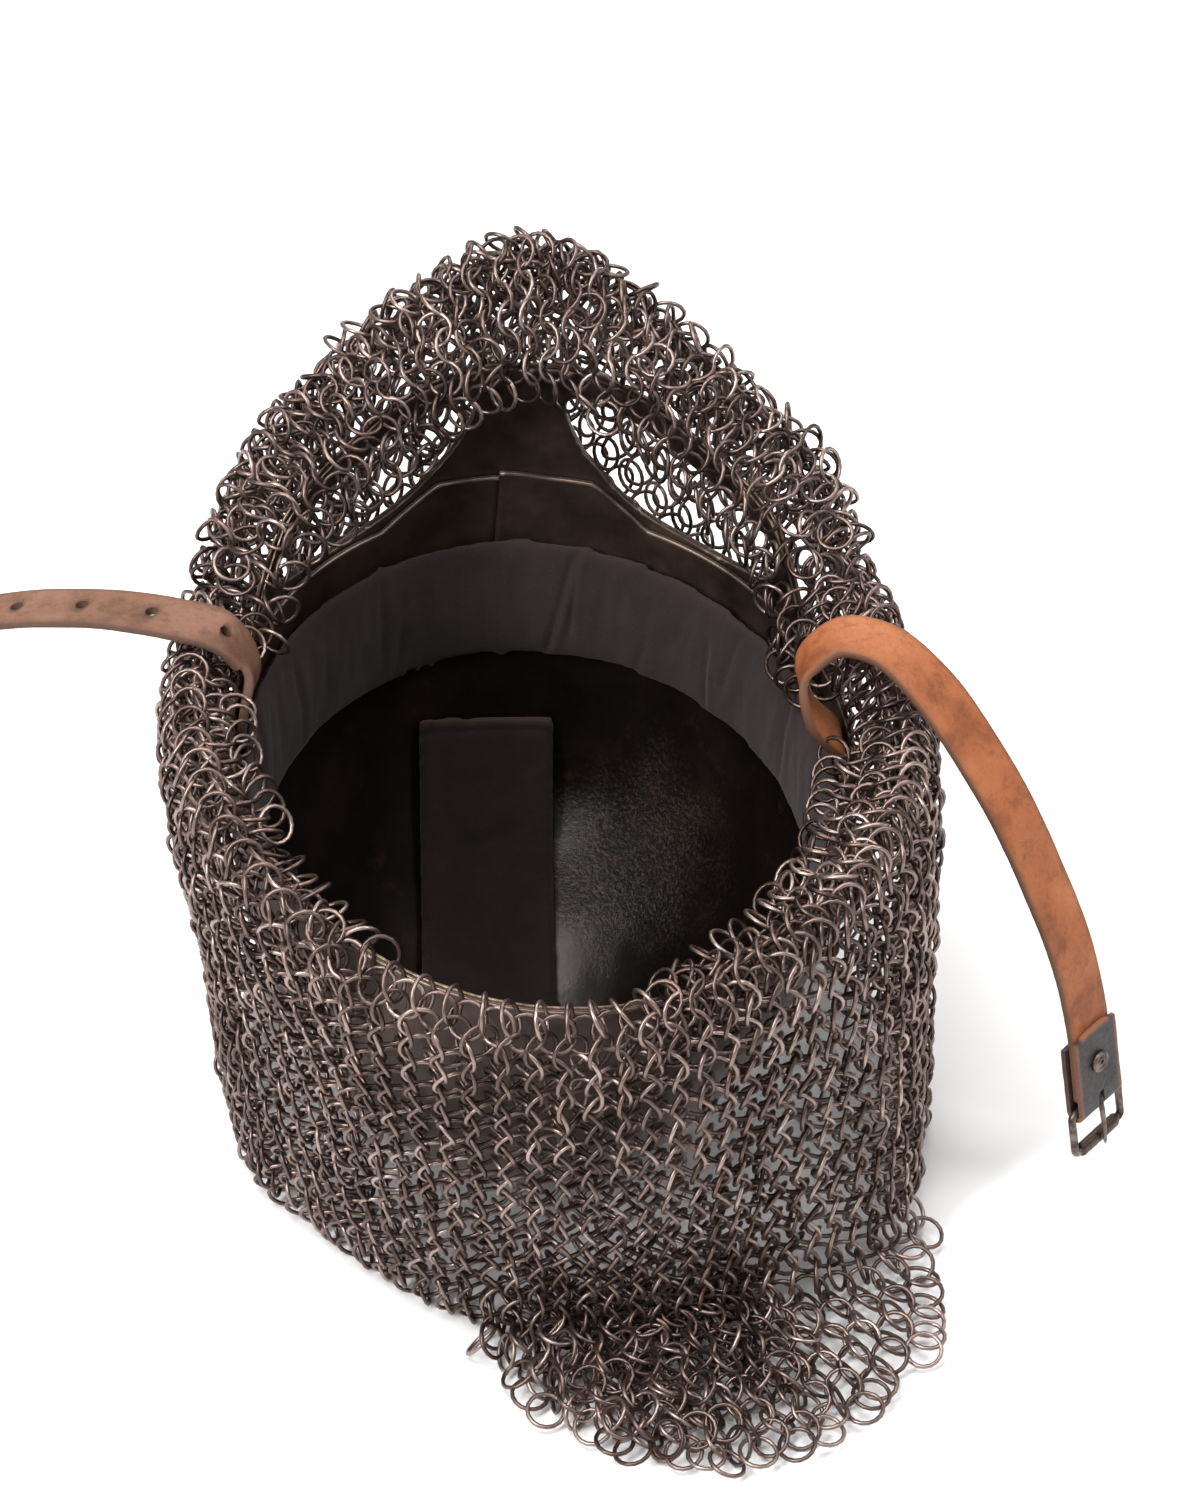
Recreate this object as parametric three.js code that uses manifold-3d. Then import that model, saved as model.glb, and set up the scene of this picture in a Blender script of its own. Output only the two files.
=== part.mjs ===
// A spectacle-visor helmet with a full mail curtain, laid upside down on its crown.
// The bowl opens upwards, the mail is turned out over the rim all round and hangs to the
// table, and its hem spreads there in a fan. Millimetres and degrees, +Z up.

import * as THREE from 'three';
import { mergeVertices } from 'three/addons/utils/BufferGeometryUtils.js';
import Module from 'manifold-3d';

const wasm = await Module();
wasm.setup();

// Driving dimensions of the steel helmet, in its own frame: crown at zero, rim up, face to +Y
const HELMET = { halfWidth: 102, halfLength: 118, height: 168, roundness: 2.2, plate: 2 };
const GAP = 0.3;
const DOME = { top: 150, rows: 15 };
const BROW = {
  heights: [118, 130, 142, 154, 164],
  peak: 14.5,
  flatTo: 15.5,
  slopeTo: 27,
  lapAngle: -3,
  lapStep: 2,
  lapFade: 0.03,
};
const VISOR = { plate: 2.5, bottom: 152, end: 63, angleStep: 3, rows: [0, 0.16, 0.32, 0.48, 0.64, 0.8, 1] };
const EYE_CUT = { inside: -9, outside: 14, points: 44 };
const HEAD_PAD = { bottom: 109, top: 158, lean: 5, leanAngle: 20, edge: 3, middle: 6 };
const CROWN_PAD = { width: 53, thickness: 5, offset: -5, frontAngle: 28, backAngle: 147, steps: 26 };
const WIRE = { radius: 0.8, lift: 1.15, steps: 100, sides: 5 };

// How the helmet lies on the table, and the middle of the whole part from the middle of the rim
const TILT = { forward: 6, sideways: 4.8, turn: 5.2 };
const CROWN_CLEARANCE = 0.4;
const ORIGIN = { x: -26.06, y: -11.96 };

// The mail: its wall, the turned-over collar's shape, and the fan that lies on the table
const MAIL = { thickness: 5, startThickness: 1.2, lift: 3, roll: 7, columnAngle: 5.2, seamAngle: 0.07 };
const COLLAR = { out: 0.45, rise: 0.62, bellyHeight: 0.45, footFold: 0.6 };
const FAN = { start: 115, end: 192.5, under: 6, thickness: 5, columns: 17 };
const RIPPLE = { depth: 1.2, from: 6, to: 20, waves: 14 };
const RAISED = { start: 112, end: 197, foot: 5.3 };

// The straps, and the buckle in the folded tab at the right strap's end
const STRAP = { width: 20, thickness: 3, chamfer: 0.6, turnFrom: 0.08, turnTo: 0.4 };
const STRAP_HOLES = { first: 0.178, step: 0.122, count: 6, radius: 2.2 };
const TAB = { thickness: 1.6, width: 22, front: 28, back: 22.4, bend: 4.6, slot: 1.5, bendSteps: 8 };
const RIVET = { fromEnd: 14, radius: 4, height: 1.4 };
const BUCKLE = { wire: 1.4, width: 26, depth: 17, corner: 2, sides: 8 };
const PRONG = { radius: 1, past: 2.5, steps: 6 };

const COLUMNS = 64;
const FULL_TURN = 360;

// Lower edge of the visor plate and the outline of an eye opening, by angle from the face
const VISOR_EDGE = [
  { angle: 0, z: 229 },
  { angle: 8, z: 229 },
  { angle: 14, z: 227 },
  { angle: 25, z: 221 },
  { angle: 35, z: 212 },
  { angle: 47, z: 204 },
  { angle: 53, z: 198 },
  { angle: 58, z: 186 },
  { angle: 63, z: 171 },
];
const EYE = [
  { angle: 17.8, z: 183.5 },
  { angle: 24, z: 175 },
  { angle: 30, z: 171 },
  { angle: 39, z: 169.5 },
  { angle: 47, z: 171 },
  { angle: 53.5, z: 175 },
  { angle: 54.3, z: 184 },
  { angle: 52.5, z: 191 },
  { angle: 46, z: 196 },
  { angle: 35, z: 202 },
  { angle: 25, z: 210 },
  { angle: 14, z: 217 },
  { angle: 9.5, z: 217 },
  { angle: 8.8, z: 211 },
  { angle: 13.1, z: 193.5 },
];

// The mail curtain round the helmet, by direction from +Y towards +X: how far the turned-over
// collar stands out and rises from its edge, then the radii half way down and at the foot
const CURTAIN = [
  { angle: 0, out: 21, rise: 36, belly: 150, foot: 148 },
  { angle: 18, out: 22, rise: 20, belly: 148, foot: 146 },
  { angle: 32, out: 23, rise: 13, belly: 143, foot: 141 },
  { angle: 46, out: 22, rise: 12, belly: 138, foot: 136 },
  { angle: 62, out: 18, rise: 20, belly: 134, foot: 131 },
  { angle: 80, out: 15, rise: 18, belly: 130, foot: 131 },
  { angle: 100, out: 14, rise: 18, belly: 131, foot: 133 },
  { angle: 120, out: 12, rise: 19, belly: 131, foot: 132 },
  { angle: 140, out: 9, rise: 14, belly: 130, foot: 125 },
  { angle: 160, out: 6, rise: 8, belly: 128, foot: 118 },
  { angle: 180, out: 4, rise: 4, belly: 122, foot: 111 },
  { angle: 200, out: 4, rise: 4, belly: 114, foot: 102 },
  { angle: 220, out: 6, rise: 8, belly: 109, foot: 97 },
  { angle: 240, out: 9, rise: 12, belly: 109, foot: 99 },
  { angle: 260, out: 12, rise: 14, belly: 114, foot: 108 },
  { angle: 280, out: 13, rise: 13, belly: 120, foot: 116 },
  { angle: 300, out: 15, rise: 10, belly: 127, foot: 123 },
  { angle: 314, out: 19, rise: 10, belly: 132, foot: 129 },
  { angle: 329, out: 23, rise: 15, belly: 140, foot: 137 },
  { angle: 343, out: 22, rise: 23, belly: 147, foot: 144 },
];

// The largest upright folds of the hanging mail
const FOLDS = [
  { angle: 24, width: 7, depth: 4 },
  { angle: 50, width: 6, depth: -5 },
  { angle: 74, width: 6, depth: 4 },
  { angle: 101, width: 6, depth: -6 },
  { angle: 122, width: 8, depth: 4 },
  { angle: 146, width: 7, depth: -4 },
  { angle: 246, width: 8, depth: 3 },
  { angle: 268, width: 7, depth: -4 },
  { angle: 296, width: 7, depth: 3 },
  { angle: 322, width: 7, depth: -4 },
  { angle: 350, width: 6, depth: 3 },
];

// The gathers of the head band's cloth
const WRINKLES = [
  { count: 11, depth: 0.5, shift: 0 },
  { count: 17, depth: 0.4, shift: 40 },
];

// The hem of the fan on the table
const HEM = [
  { angle: 113, radius: 136 },
  { angle: 118, radius: 148 },
  { angle: 124, radius: 166 },
  { angle: 134, radius: 181 },
  { angle: 148, radius: 190 },
  { angle: 160, radius: 188 },
  { angle: 170, radius: 176 },
  { angle: 179, radius: 158 },
  { angle: 187, radius: 138 },
  { angle: 193, radius: 120 },
];

// The chin straps: where each is fixed inside the rim, by angle and height in the helmet, and
// the rest of its middle line to its free end, on the table's axes
const STRAP_RIGHT = {
  hand: -1,
  across: [0.69, 0.72, 0],
  root: [{ angle: 91, z: 160, offset: -1.9 }, { angle: 91, z: 168, offset: -3.2 }],
  steps: 38,
  path: [
    [87, 3, 179],
    [86, 9, 191],
    [97, 14, 199.5],
    [111, 11, 199],
    [126, 2, 189.5],
    [150, -13, 157],
    [168, -21, 119],
    [178, -25, 92],
    [184, -27, 67],
    [188.5, -29, 37],
  ],
};
const STRAP_LEFT = {
  hand: 1,
  across: [0.3, 0.95, 0],
  root: [{ angle: 279, z: 160, offset: -1.9 }, { angle: 279, z: 169, offset: -2.6 }],
  steps: 34,
  path: [
    [-98, 18, 188],
    [-106, 21, 199],
    [-122, 25, 202],
    [-148, 34, 200],
    [-182, 44, 192],
    [-212, 53, 178],
    [-236, 60, 160],
    [-250, 64, 143],
  ],
};

const COLOUR = {
  steel: { color: 0x2a221d, roughness: 0.42, metalness: 0.85 },
  band: { color: 0x30261f, roughness: 0.5, metalness: 0.8 },
  mail: { color: 0x4d443d, roughness: 0.45, metalness: 0.9 },
  pad: { color: 0x322d30, roughness: 0.95, metalness: 0 },
  crownPad: { color: 0x1f1b1c, roughness: 0.95, metalness: 0 },
  leather: { color: 0xb9683f, roughness: 0.7, metalness: 0 },
  paleLeather: { color: 0xa0735c, roughness: 0.75, metalness: 0 },
  tab: { color: 0x4a4143, roughness: 0.6, metalness: 0.1 },
  buckle: { color: 0x5a5048, roughness: 0.4, metalness: 0.9 },
  wire: { color: 0xa9906f, roughness: 0.4, metalness: 0.9 },
};

// Small maths

const rad = (degrees) => THREE.MathUtils.degToRad(degrees);
const wrap = (degrees) => ((degrees % FULL_TURN) + FULL_TURN) % FULL_TURN;
const point = (x, y, z) => new THREE.Vector3(x, y, z);

function smooth(low, high, value) {
  return THREE.MathUtils.smoothstep(value, low, high);
}

// A value from a table by angle, on a smooth curve through its rows
function lookUp(table, angle, column, cyclic = false) {
  const count = table.length;
  let next = table.findIndex((row) => row.angle > angle);
  if (next < 0) next = cyclic ? count : count - 1;
  if (next === 0) next = 1;
  const row = (index) => {
    if (!cyclic) return table[THREE.MathUtils.clamp(index, 0, count - 1)];
    const turns = Math.floor(index / count);
    const found = table[index - turns * count];
    return { angle: found.angle + turns * FULL_TURN, [column]: found[column] };
  };
  const a = row(next - 1);
  const b = row(next);
  const before = row(next - 2);
  const after = row(next + 1);
  const span = b.angle - a.angle;
  const t = THREE.MathUtils.clamp((angle - a.angle) / span, 0, 1);
  const slopeA = (b[column] - before[column]) / (b.angle - before.angle);
  const slopeB = (after[column] - a[column]) / (after.angle - a.angle);
  const t2 = t * t;
  const t3 = t2 * t;
  return (2 * t3 - 3 * t2 + 1) * a[column] + (t3 - 2 * t2 + t) * span * slopeA
    + (3 * t2 - 2 * t3) * b[column] + (t3 - t2) * span * slopeB;
}

// Solids

function solid(positions, faces) {
  const raw = new THREE.BufferGeometry();
  raw.setAttribute('position', new THREE.Float32BufferAttribute(positions, 3));
  raw.setIndex(faces);
  const geometry = mergeVertices(raw, 1e-4);
  const index = geometry.index.array;
  const kept = [];
  for (let i = 0; i < index.length; i += 3) {
    const [a, b, c] = [index[i], index[i + 1], index[i + 2]];
    if (a !== b && b !== c && c !== a) kept.push(a, b, c);
  }
  if (signedVolume(geometry.attributes.position, kept) < 0) kept.reverse();
  geometry.setIndex(kept);
  return geometry;
}

function signedVolume(position, faces) {
  const [a, b, c] = [point(), point(), point()];
  let volume = 0;
  for (let i = 0; i < faces.length; i += 3) {
    a.fromBufferAttribute(position, faces[i]);
    b.fromBufferAttribute(position, faces[i + 1]);
    c.fromBufferAttribute(position, faces[i + 2]);
    volume += a.dot(b.cross(c));
  }
  return volume;
}

// A sheet with two sides, each a grid of points by column and row, closed at its edges
function sheet(outer, inner, cyclic = false) {
  const columns = outer.length;
  const rows = outer[0].length;
  const positions = [];
  for (const side of [outer, inner]) {
    for (const column of side) column.forEach((p) => positions.push(p.x, p.y, p.z));
  }
  const at = (side, i, j) => (side * columns + (i % columns)) * rows + j;
  const faces = [];
  const quad = (a, b, c, d) => faces.push(a, b, c, a, c, d);
  const steps = cyclic ? columns : columns - 1;
  const top = rows - 1;
  for (let i = 0; i < steps; i += 1) {
    for (let j = 0; j < top; j += 1) {
      quad(at(0, i, j), at(0, i + 1, j), at(0, i + 1, j + 1), at(0, i, j + 1));
      quad(at(1, i, j), at(1, i, j + 1), at(1, i + 1, j + 1), at(1, i + 1, j));
    }
    quad(at(0, i, 0), at(1, i, 0), at(1, i + 1, 0), at(0, i + 1, 0));
    quad(at(0, i, top), at(0, i + 1, top), at(1, i + 1, top), at(1, i, top));
  }
  if (!cyclic) {
    const end = columns - 1;
    for (let j = 0; j < top; j += 1) {
      quad(at(0, 0, j), at(0, 0, j + 1), at(1, 0, j + 1), at(1, 0, j));
      quad(at(0, end, j), at(1, end, j), at(1, end, j + 1), at(0, end, j + 1));
    }
  }
  return solid(positions, faces);
}

// A bar through rings of points, closed on itself or capped at both ends
function bar(rings, cyclic = false) {
  const sides = rings[0].length;
  const positions = [];
  rings.forEach((ring) => ring.forEach((p) => positions.push(p.x, p.y, p.z)));
  const at = (i, k) => (i % rings.length) * sides + (k % sides);
  const faces = [];
  const steps = cyclic ? rings.length : rings.length - 1;
  for (let i = 0; i < steps; i += 1) {
    for (let k = 0; k < sides; k += 1) {
      faces.push(at(i, k), at(i + 1, k), at(i + 1, k + 1), at(i, k), at(i + 1, k + 1), at(i, k + 1));
    }
  }
  if (!cyclic) {
    const end = rings.length - 1;
    for (let k = 1; k < sides - 1; k += 1) {
      faces.push(at(0, 0), at(0, k), at(0, k + 1), at(end, 0), at(end, k + 1), at(end, k));
    }
  }
  return solid(positions, faces);
}

// Points round a circle that lies along two given directions
function circle(centre, first, second, radius, sides) {
  return Array.from({ length: sides }, (_, k) => {
    const turn = rad((k * FULL_TURN) / sides);
    return centre.clone()
      .addScaledVector(first, radius * Math.cos(turn))
      .addScaledVector(second, radius * Math.sin(turn));
  });
}

function toManifold(geometry) {
  return new wasm.Manifold(new wasm.Mesh({
    numProp: 3,
    vertProperties: new Float32Array(geometry.attributes.position.array),
    triVerts: new Uint32Array(geometry.index.array),
  }));
}

function fromManifold(manifold) {
  const mesh = manifold.getMesh();
  return solid(Array.from(mesh.vertProperties), Array.from(mesh.triVerts));
}

function cut(geometry, cutters) {
  let result = toManifold(geometry);
  cutters.forEach((cutter) => {
    result = result.subtract(toManifold(cutter));
  });
  return fromManifold(result);
}

function mesh(name, geometry, colour) {
  const material = new THREE.MeshStandardMaterial(colour);
  const made = new THREE.Mesh(geometry, material);
  made.name = name;
  return made;
}

// The steel helmet's own shape

// Part of the full half width that the bowl has at a height above its crown
function bowl(z) {
  const down = 1 - THREE.MathUtils.clamp(z / HELMET.height, 0, 1);
  return (1 - down ** HELMET.roundness) ** (1 / HELMET.roundness);
}

// A point on a surface a little outside the bowl, or inside it where the offset is negative
function around(angle, z, offset) {
  const x = (HELMET.halfWidth * bowl(z) + offset) * Math.sin(rad(angle));
  const y = (HELMET.halfLength * bowl(z) + offset) * Math.cos(rad(angle));
  return point(x, y, z);
}

function rimHeight(angle) {
  const fromFace = Math.abs(wrap(angle + FULL_TURN / 2) - FULL_TURN / 2);
  const slope = (BROW.slopeTo - fromFace) / (BROW.slopeTo - BROW.flatTo);
  return HELMET.height + BROW.peak * THREE.MathUtils.clamp(slope, 0, 1);
}

function domeShell() {
  const power = 2 / HELMET.roundness;
  const last = Math.acos((1 - DOME.top / HELMET.height) ** (1 / power));
  const side = (depth) => Array.from({ length: COLUMNS }, (_, i) => {
    const turn = rad((i * FULL_TURN) / COLUMNS);
    return Array.from({ length: DOME.rows }, (unused, j) => {
      const slope = (last * j) / (DOME.rows - 1);
      const wide = Math.sin(slope) ** power;
      const z = HELMET.height - (HELMET.height - depth) * Math.cos(slope) ** power;
      const x = (HELMET.halfWidth - depth) * wide * Math.sin(turn);
      const y = (HELMET.halfLength - depth) * wide * Math.cos(turn);
      return point(x, y, z);
    });
  });
  return sheet(side(0), side(HELMET.plate), true);
}

// The band's two ends meet just left of the face, the one a little higher than the other
function browBand() {
  const steps = COLUMNS + 12;
  const halfJoint = 0.15;
  const side = (offset) => Array.from({ length: steps + 1 }, (_, i) => {
    const part = i / steps;
    const angle = BROW.lapAngle + halfJoint + part * (FULL_TURN - 2 * halfJoint);
    const top = rimHeight(angle) + BROW.lapStep * (1 - smooth(0, BROW.lapFade, part));
    return [...BROW.heights, top].map((z) => around(angle, z, offset));
  });
  return sheet(side(GAP + HELMET.plate), side(GAP));
}

function visorTop(angle) {
  return lookUp(VISOR_EDGE, Math.abs(angle), 'z');
}

function visor() {
  const inside = 2 * GAP + HELMET.plate;
  const side = (offset) => {
    const columns = [];
    for (let angle = -VISOR.end; angle <= VISOR.end; angle += VISOR.angleStep) {
      const height = visorTop(angle) - VISOR.bottom;
      columns.push(VISOR.rows.map((t) => around(angle, VISOR.bottom + t * height, offset)));
    }
    return columns;
  };
  const plate = sheet(side(inside + VISOR.plate), side(inside));
  return cut(plate, [eyeCutter(1), eyeCutter(-1)]);
}

function eyeCutter(hand) {
  const outline = new THREE.CatmullRomCurve3(EYE.map((p) => point(hand * p.angle, p.z, 0)), true);
  const points = outline.getPoints(EYE_CUT.points).slice(1);
  const ends = [EYE_CUT.inside, EYE_CUT.outside];
  return fanBar(ends.map((offset) => points.map((p) => around(p.x, p.y, offset))));
}

// A bar of two rings whose caps are fans about their middles
function fanBar(rings) {
  const sides = rings[0].length;
  const positions = [];
  rings.forEach((ring) => ring.forEach((p) => positions.push(p.x, p.y, p.z)));
  rings.forEach((ring) => {
    const middle = ring.reduce((sum, p) => sum.add(p), point(0, 0, 0)).divideScalar(sides);
    positions.push(middle.x, middle.y, middle.z);
  });
  const faces = [];
  for (let k = 0; k < sides; k += 1) {
    const next = (k + 1) % sides;
    faces.push(k, sides + k, sides + next, k, sides + next, next);
    faces.push(2 * sides, k, next, 2 * sides + 1, sides + next, sides + k);
  }
  return solid(positions, faces);
}

// The padding inside

// How far the band stands out at an angle, where its cloth is gathered into upright wrinkles
function wrinkleDepth(angle) {
  return WRINKLES.reduce((sum, wave) => {
    return sum + wave.depth * Math.sin(rad(angle * wave.count + wave.shift));
  }, 0);
}

// A stuffed band round the head, inside the rim
function headPad() {
  const parts = [0, 0.12, 0.35, 0.65, 0.88, 1];
  const outside = -(HELMET.plate + GAP);
  const column = (i, inner) => parts.map((t) => {
    const angle = (i * FULL_TURN) / COLUMNS;
    const bottom = HEAD_PAD.bottom + HEAD_PAD.lean * Math.sin(rad(angle - HEAD_PAD.leanAngle));
    const z = bottom + t * (HEAD_PAD.top - bottom);
    const bulge = Math.sin(Math.PI * t);
    const depth = HEAD_PAD.edge + (HEAD_PAD.middle - HEAD_PAD.edge) * Math.sqrt(bulge);
    return around(angle, z, inner ? outside - depth - wrinkleDepth(angle) * bulge : outside);
  });
  const side = (inner) => Array.from({ length: COLUMNS }, (_, i) => column(i, inner));
  return sheet(side(false), side(true), true);
}

// A strip over the inside of the crown, from front to back
function crownPad() {
  const seat = HELMET.plate + GAP;
  const across = [
    { part: -1, thick: 0.5 },
    { part: -0.9, thick: 1 },
    { part: 0, thick: 1 },
    { part: 0.9, thick: 1 },
    { part: 1, thick: 0.5 },
  ];
  const side = (thickness) => Array.from({ length: CROWN_PAD.steps + 1 }, (_, i) => {
    const swept = CROWN_PAD.backAngle - CROWN_PAD.frontAngle;
    const sweep = CROWN_PAD.frontAngle + (i / CROWN_PAD.steps) * swept;
    return across.map(({ part, thick }) => crownPoint(sweep, part, seat + thickness * thick));
  });
  return sheet(side(0), side(CROWN_PAD.thickness));
}

// A point under the crown, by its sweep from front to back, part of the half width and depth
function crownPoint(sweep, part, depth) {
  const lean = Math.cos(rad(sweep));
  const halfWidth = HELMET.halfWidth - depth;
  const halfLength = HELMET.halfLength - depth;
  const wide = (CROWN_PAD.offset + (part * CROWN_PAD.width) / 2) / halfWidth;
  const reach = Math.abs(lean) ** (2 / HELMET.roundness) * Math.sqrt(1 - wide ** 2);
  const long = Math.sign(lean) * reach;
  const out = Math.min(1, Math.hypot(wide, long));
  const down = (1 - out ** HELMET.roundness) ** (1 / HELMET.roundness);
  return point(wide * halfWidth, long * halfLength, HELMET.height - (HELMET.height - depth) * down);
}

// Placing the helmet on its crown

function helmetMatrix() {
  const turn = new THREE.Euler(rad(TILT.forward), rad(TILT.sideways), rad(TILT.turn), 'XYZ');
  const matrix = new THREE.Matrix4().makeRotationFromEuler(turn);
  const rim = point(0, 0, HELMET.height).applyMatrix4(matrix);
  const angleStep = 2;
  const heightStep = 0.25;
  let lowest = 0;
  for (let angle = 0; angle < FULL_TURN; angle += angleStep) {
    for (let z = 0; z < HELMET.height / 4; z += heightStep) {
      lowest = Math.min(lowest, around(angle, z, 0).applyMatrix4(matrix).z);
    }
  }
  return matrix.setPosition(-rim.x, -rim.y, CROWN_CLEARANCE - lowest);
}

const STANDING = helmetMatrix();

// The mail

// The edge that the mail hangs from: the visor's lower edge in front, the rim elsewhere
function edgeLine(angle) {
  const signed = wrap(angle + FULL_TURN / 2) - FULL_TURN / 2;
  const fromFace = Math.abs(signed);
  const fade = 4;
  const onVisor = 1 - smooth(VISOR.end - 1, VISOR.end + fade, fromFace);
  const middle = GAP + HELMET.plate / 2 + onVisor * (GAP + HELMET.plate / 2 + VISOR.plate / 2);
  const visorZ = visorTop(Math.min(fromFace, VISOR.end));
  const z = rimHeight(signed) + onVisor * Math.max(0, visorZ - rimHeight(signed));
  return around(signed, z, middle);
}

// A point lifted off that edge, square to it in the face of the plate
function edgePoint(angle, lift) {
  const step = 0.5;
  const centre = edgeLine(angle);
  const along = edgeLine(angle + step).sub(edgeLine(angle - step)).normalize();
  const out = point(centre.x, centre.y, 0).normalize();
  return centre.addScaledVector(out.cross(along).normalize(), -lift);
}

// The same edge, by direction from the middle of the rim, standing on the table
function edgeTowards(direction) {
  const tries = 8;
  let angle = direction;
  let found = point();
  for (let done = 0; done < tries; done += 1) {
    found = edgePoint(angle, MAIL.lift).applyMatrix4(STANDING);
    const reached = THREE.MathUtils.radToDeg(Math.atan2(found.x, found.y));
    angle += wrap(direction - reached + FULL_TURN / 2) - FULL_TURN / 2;
  }
  return { radius: Math.hypot(found.x, found.y), z: found.z };
}

function foldDepth(direction) {
  return FOLDS.reduce((sum, fold) => {
    const away = wrap(direction - fold.angle + FULL_TURN / 2) - FULL_TURN / 2;
    return sum + fold.depth * Math.exp(-((away / fold.width) ** 2));
  }, 0);
}

// One upright section of the curtain, as radius in x and height in y
function curtainLine(direction) {
  const angle = wrap(direction);
  const value = (column) => lookUp(CURTAIN, angle, column, true);
  const edge = edgeTowards(angle);
  const crest = { radius: edge.radius + value('out'), z: edge.z + value('rise') };
  const belly = value('belly') + foldDepth(angle);
  const foot = value('foot') + COLLAR.footFold * foldDepth(angle);
  const onFan = angle > RAISED.start && angle < RAISED.end;
  return new THREE.CatmullRomCurve3([
    point(edge.radius, edge.z, 0),
    point(edge.radius + COLLAR.out * value('out'), edge.z + COLLAR.rise * value('rise'), 0),
    point(crest.radius, crest.z, 0),
    point(crest.radius + MAIL.roll, crest.z - MAIL.roll, 0),
    point(belly, COLLAR.bellyHeight * crest.z, 0),
    point(foot, onFan ? RAISED.foot : 0, 0),
  ], false, 'centripetal');
}

// One column of the curtain's outer or inner side, with its foot cut level
function curtainColumn(direction, side) {
  const steps = [0, 0.08, 0.2, 0.28, 0.35, 0.4, 0.45, 0.5, 0.55, 0.6, 0.68, 0.76, 0.84, 0.92, 1];
  const fullFrom = 0.15;
  const line = curtainLine(direction);
  const turn = rad(direction);
  const floor = line.getPoint(1).y;
  return steps.map((t, j) => {
    const p = line.getPoint(t);
    const along = line.getTangent(t);
    const grown = smooth(0, fullFrom, t);
    const half = (MAIL.startThickness + (MAIL.thickness - MAIL.startThickness) * grown) / 2;
    const last = j === steps.length - 1;
    const radius = p.x - side * half * along.y * (last ? 1 / Math.abs(along.y) : 1);
    const z = last ? floor : p.y + side * half * along.x;
    return point(radius * Math.sin(turn), radius * Math.cos(turn), z);
  });
}

function curtain(from, to) {
  const count = Math.round((to - from) / MAIL.columnAngle);
  const span = to - from - 2 * MAIL.seamAngle;
  const columns = (side) => Array.from({ length: count + 1 }, (_, i) => {
    const direction = from + MAIL.seamAngle + (i / count) * span;
    return curtainColumn(direction, side);
  });
  return sheet(columns(1), columns(-1));
}

// The part of the mail that lies on the table
function fan() {
  const parts = [0, 0.2, 0.4, 0.6, 0.8, 1];
  const columns = (lifted) => Array.from({ length: FAN.columns + 1 }, (_, i) => {
    const direction = FAN.start + (i / FAN.columns) * (FAN.end - FAN.start);
    const turn = rad(direction);
    const foot = lookUp(CURTAIN, direction, 'foot', true) + COLLAR.footFold * foldDepth(direction);
    const inner = foot - FAN.under;
    const outer = lookUp(HEM, direction, 'radius');
    return parts.map((t) => {
      const radius = inner + t * (outer - inner);
      const grown = smooth(foot + RIPPLE.from, foot + RIPPLE.to, radius);
      const wave = RIPPLE.depth * grown * Math.sin(rad(direction * RIPPLE.waves));
      const height = lifted ? FAN.thickness + wave : 0;
      return point(radius * Math.sin(turn), radius * Math.cos(turn), height);
    });
  });
  return sheet(columns(true), columns(false));
}

// The wire that ties the mail's first rings to the edge
function rimWire() {
  const middle = (i) => edgePoint((i * FULL_TURN) / WIRE.steps, WIRE.lift);
  const rings = Array.from({ length: WIRE.steps }, (_, i) => {
    const centre = middle(i);
    const along = middle(i + 1).sub(middle(i + WIRE.steps - 1)).normalize();
    const across = point(centre.x, centre.y, 0).normalize();
    const up = across.clone().cross(along).normalize();
    return circle(centre, along.clone().cross(up), up, WIRE.radius, WIRE.sides);
  });
  return bar(rings, true);
}

// The chin straps

// Middle, run and face directions of a strap at a part of its length
function strapFrame(strap, part) {
  const curve = strapCurve(strap);
  const centre = curve.getPointAt(part);
  const along = curve.getTangentAt(part);
  const seat = strap.root[0];
  const rim = around(seat.angle + 1, seat.z, 0).sub(around(seat.angle - 1, seat.z, 0));
  const across = rim.transformDirection(STANDING).multiplyScalar(strap.hand);
  across.lerp(point(...strap.across), smooth(STRAP.turnFrom, STRAP.turnTo, part));
  across.addScaledVector(along, -across.dot(along)).normalize();
  const face = along.clone().cross(across).normalize();
  return { centre, along, across, face };
}

function strapCurve(strap) {
  if (!strap.curve) {
    const root = strap.root.map((p) => around(p.angle, p.z, p.offset).applyMatrix4(STANDING));
    const path = strap.path.map((p) => point(...p));
    strap.curve = new THREE.CatmullRomCurve3([...root, ...path], false, 'centripetal');
  }
  return strap.curve;
}

function strapBar(strap) {
  const w = STRAP.width / 2;
  const h = STRAP.thickness / 2;
  const u = w - STRAP.chamfer;
  const v = h - STRAP.chamfer;
  const section = [[u, -h], [w, -v], [w, v], [u, h], [-u, h], [-w, v], [-w, -v], [-u, -h]];
  const rings = Array.from({ length: strap.steps + 1 }, (_, i) => {
    const { centre, across, face } = strapFrame(strap, i / strap.steps);
    return section.map(([wide, high]) => {
      return centre.clone().addScaledVector(across, wide).addScaledVector(face, high);
    });
  });
  return bar(rings);
}

// A short round pin through a strap, to cut a hole with or to set as a rivet
function pin(strap, part, radius, from, to, sides = 12) {
  const { centre, along, across, face } = strapFrame(strap, part);
  const rings = [from, to].map((height) => {
    return circle(centre.clone().addScaledVector(face, height), along, across, radius, sides);
  });
  return bar(rings);
}

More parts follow.
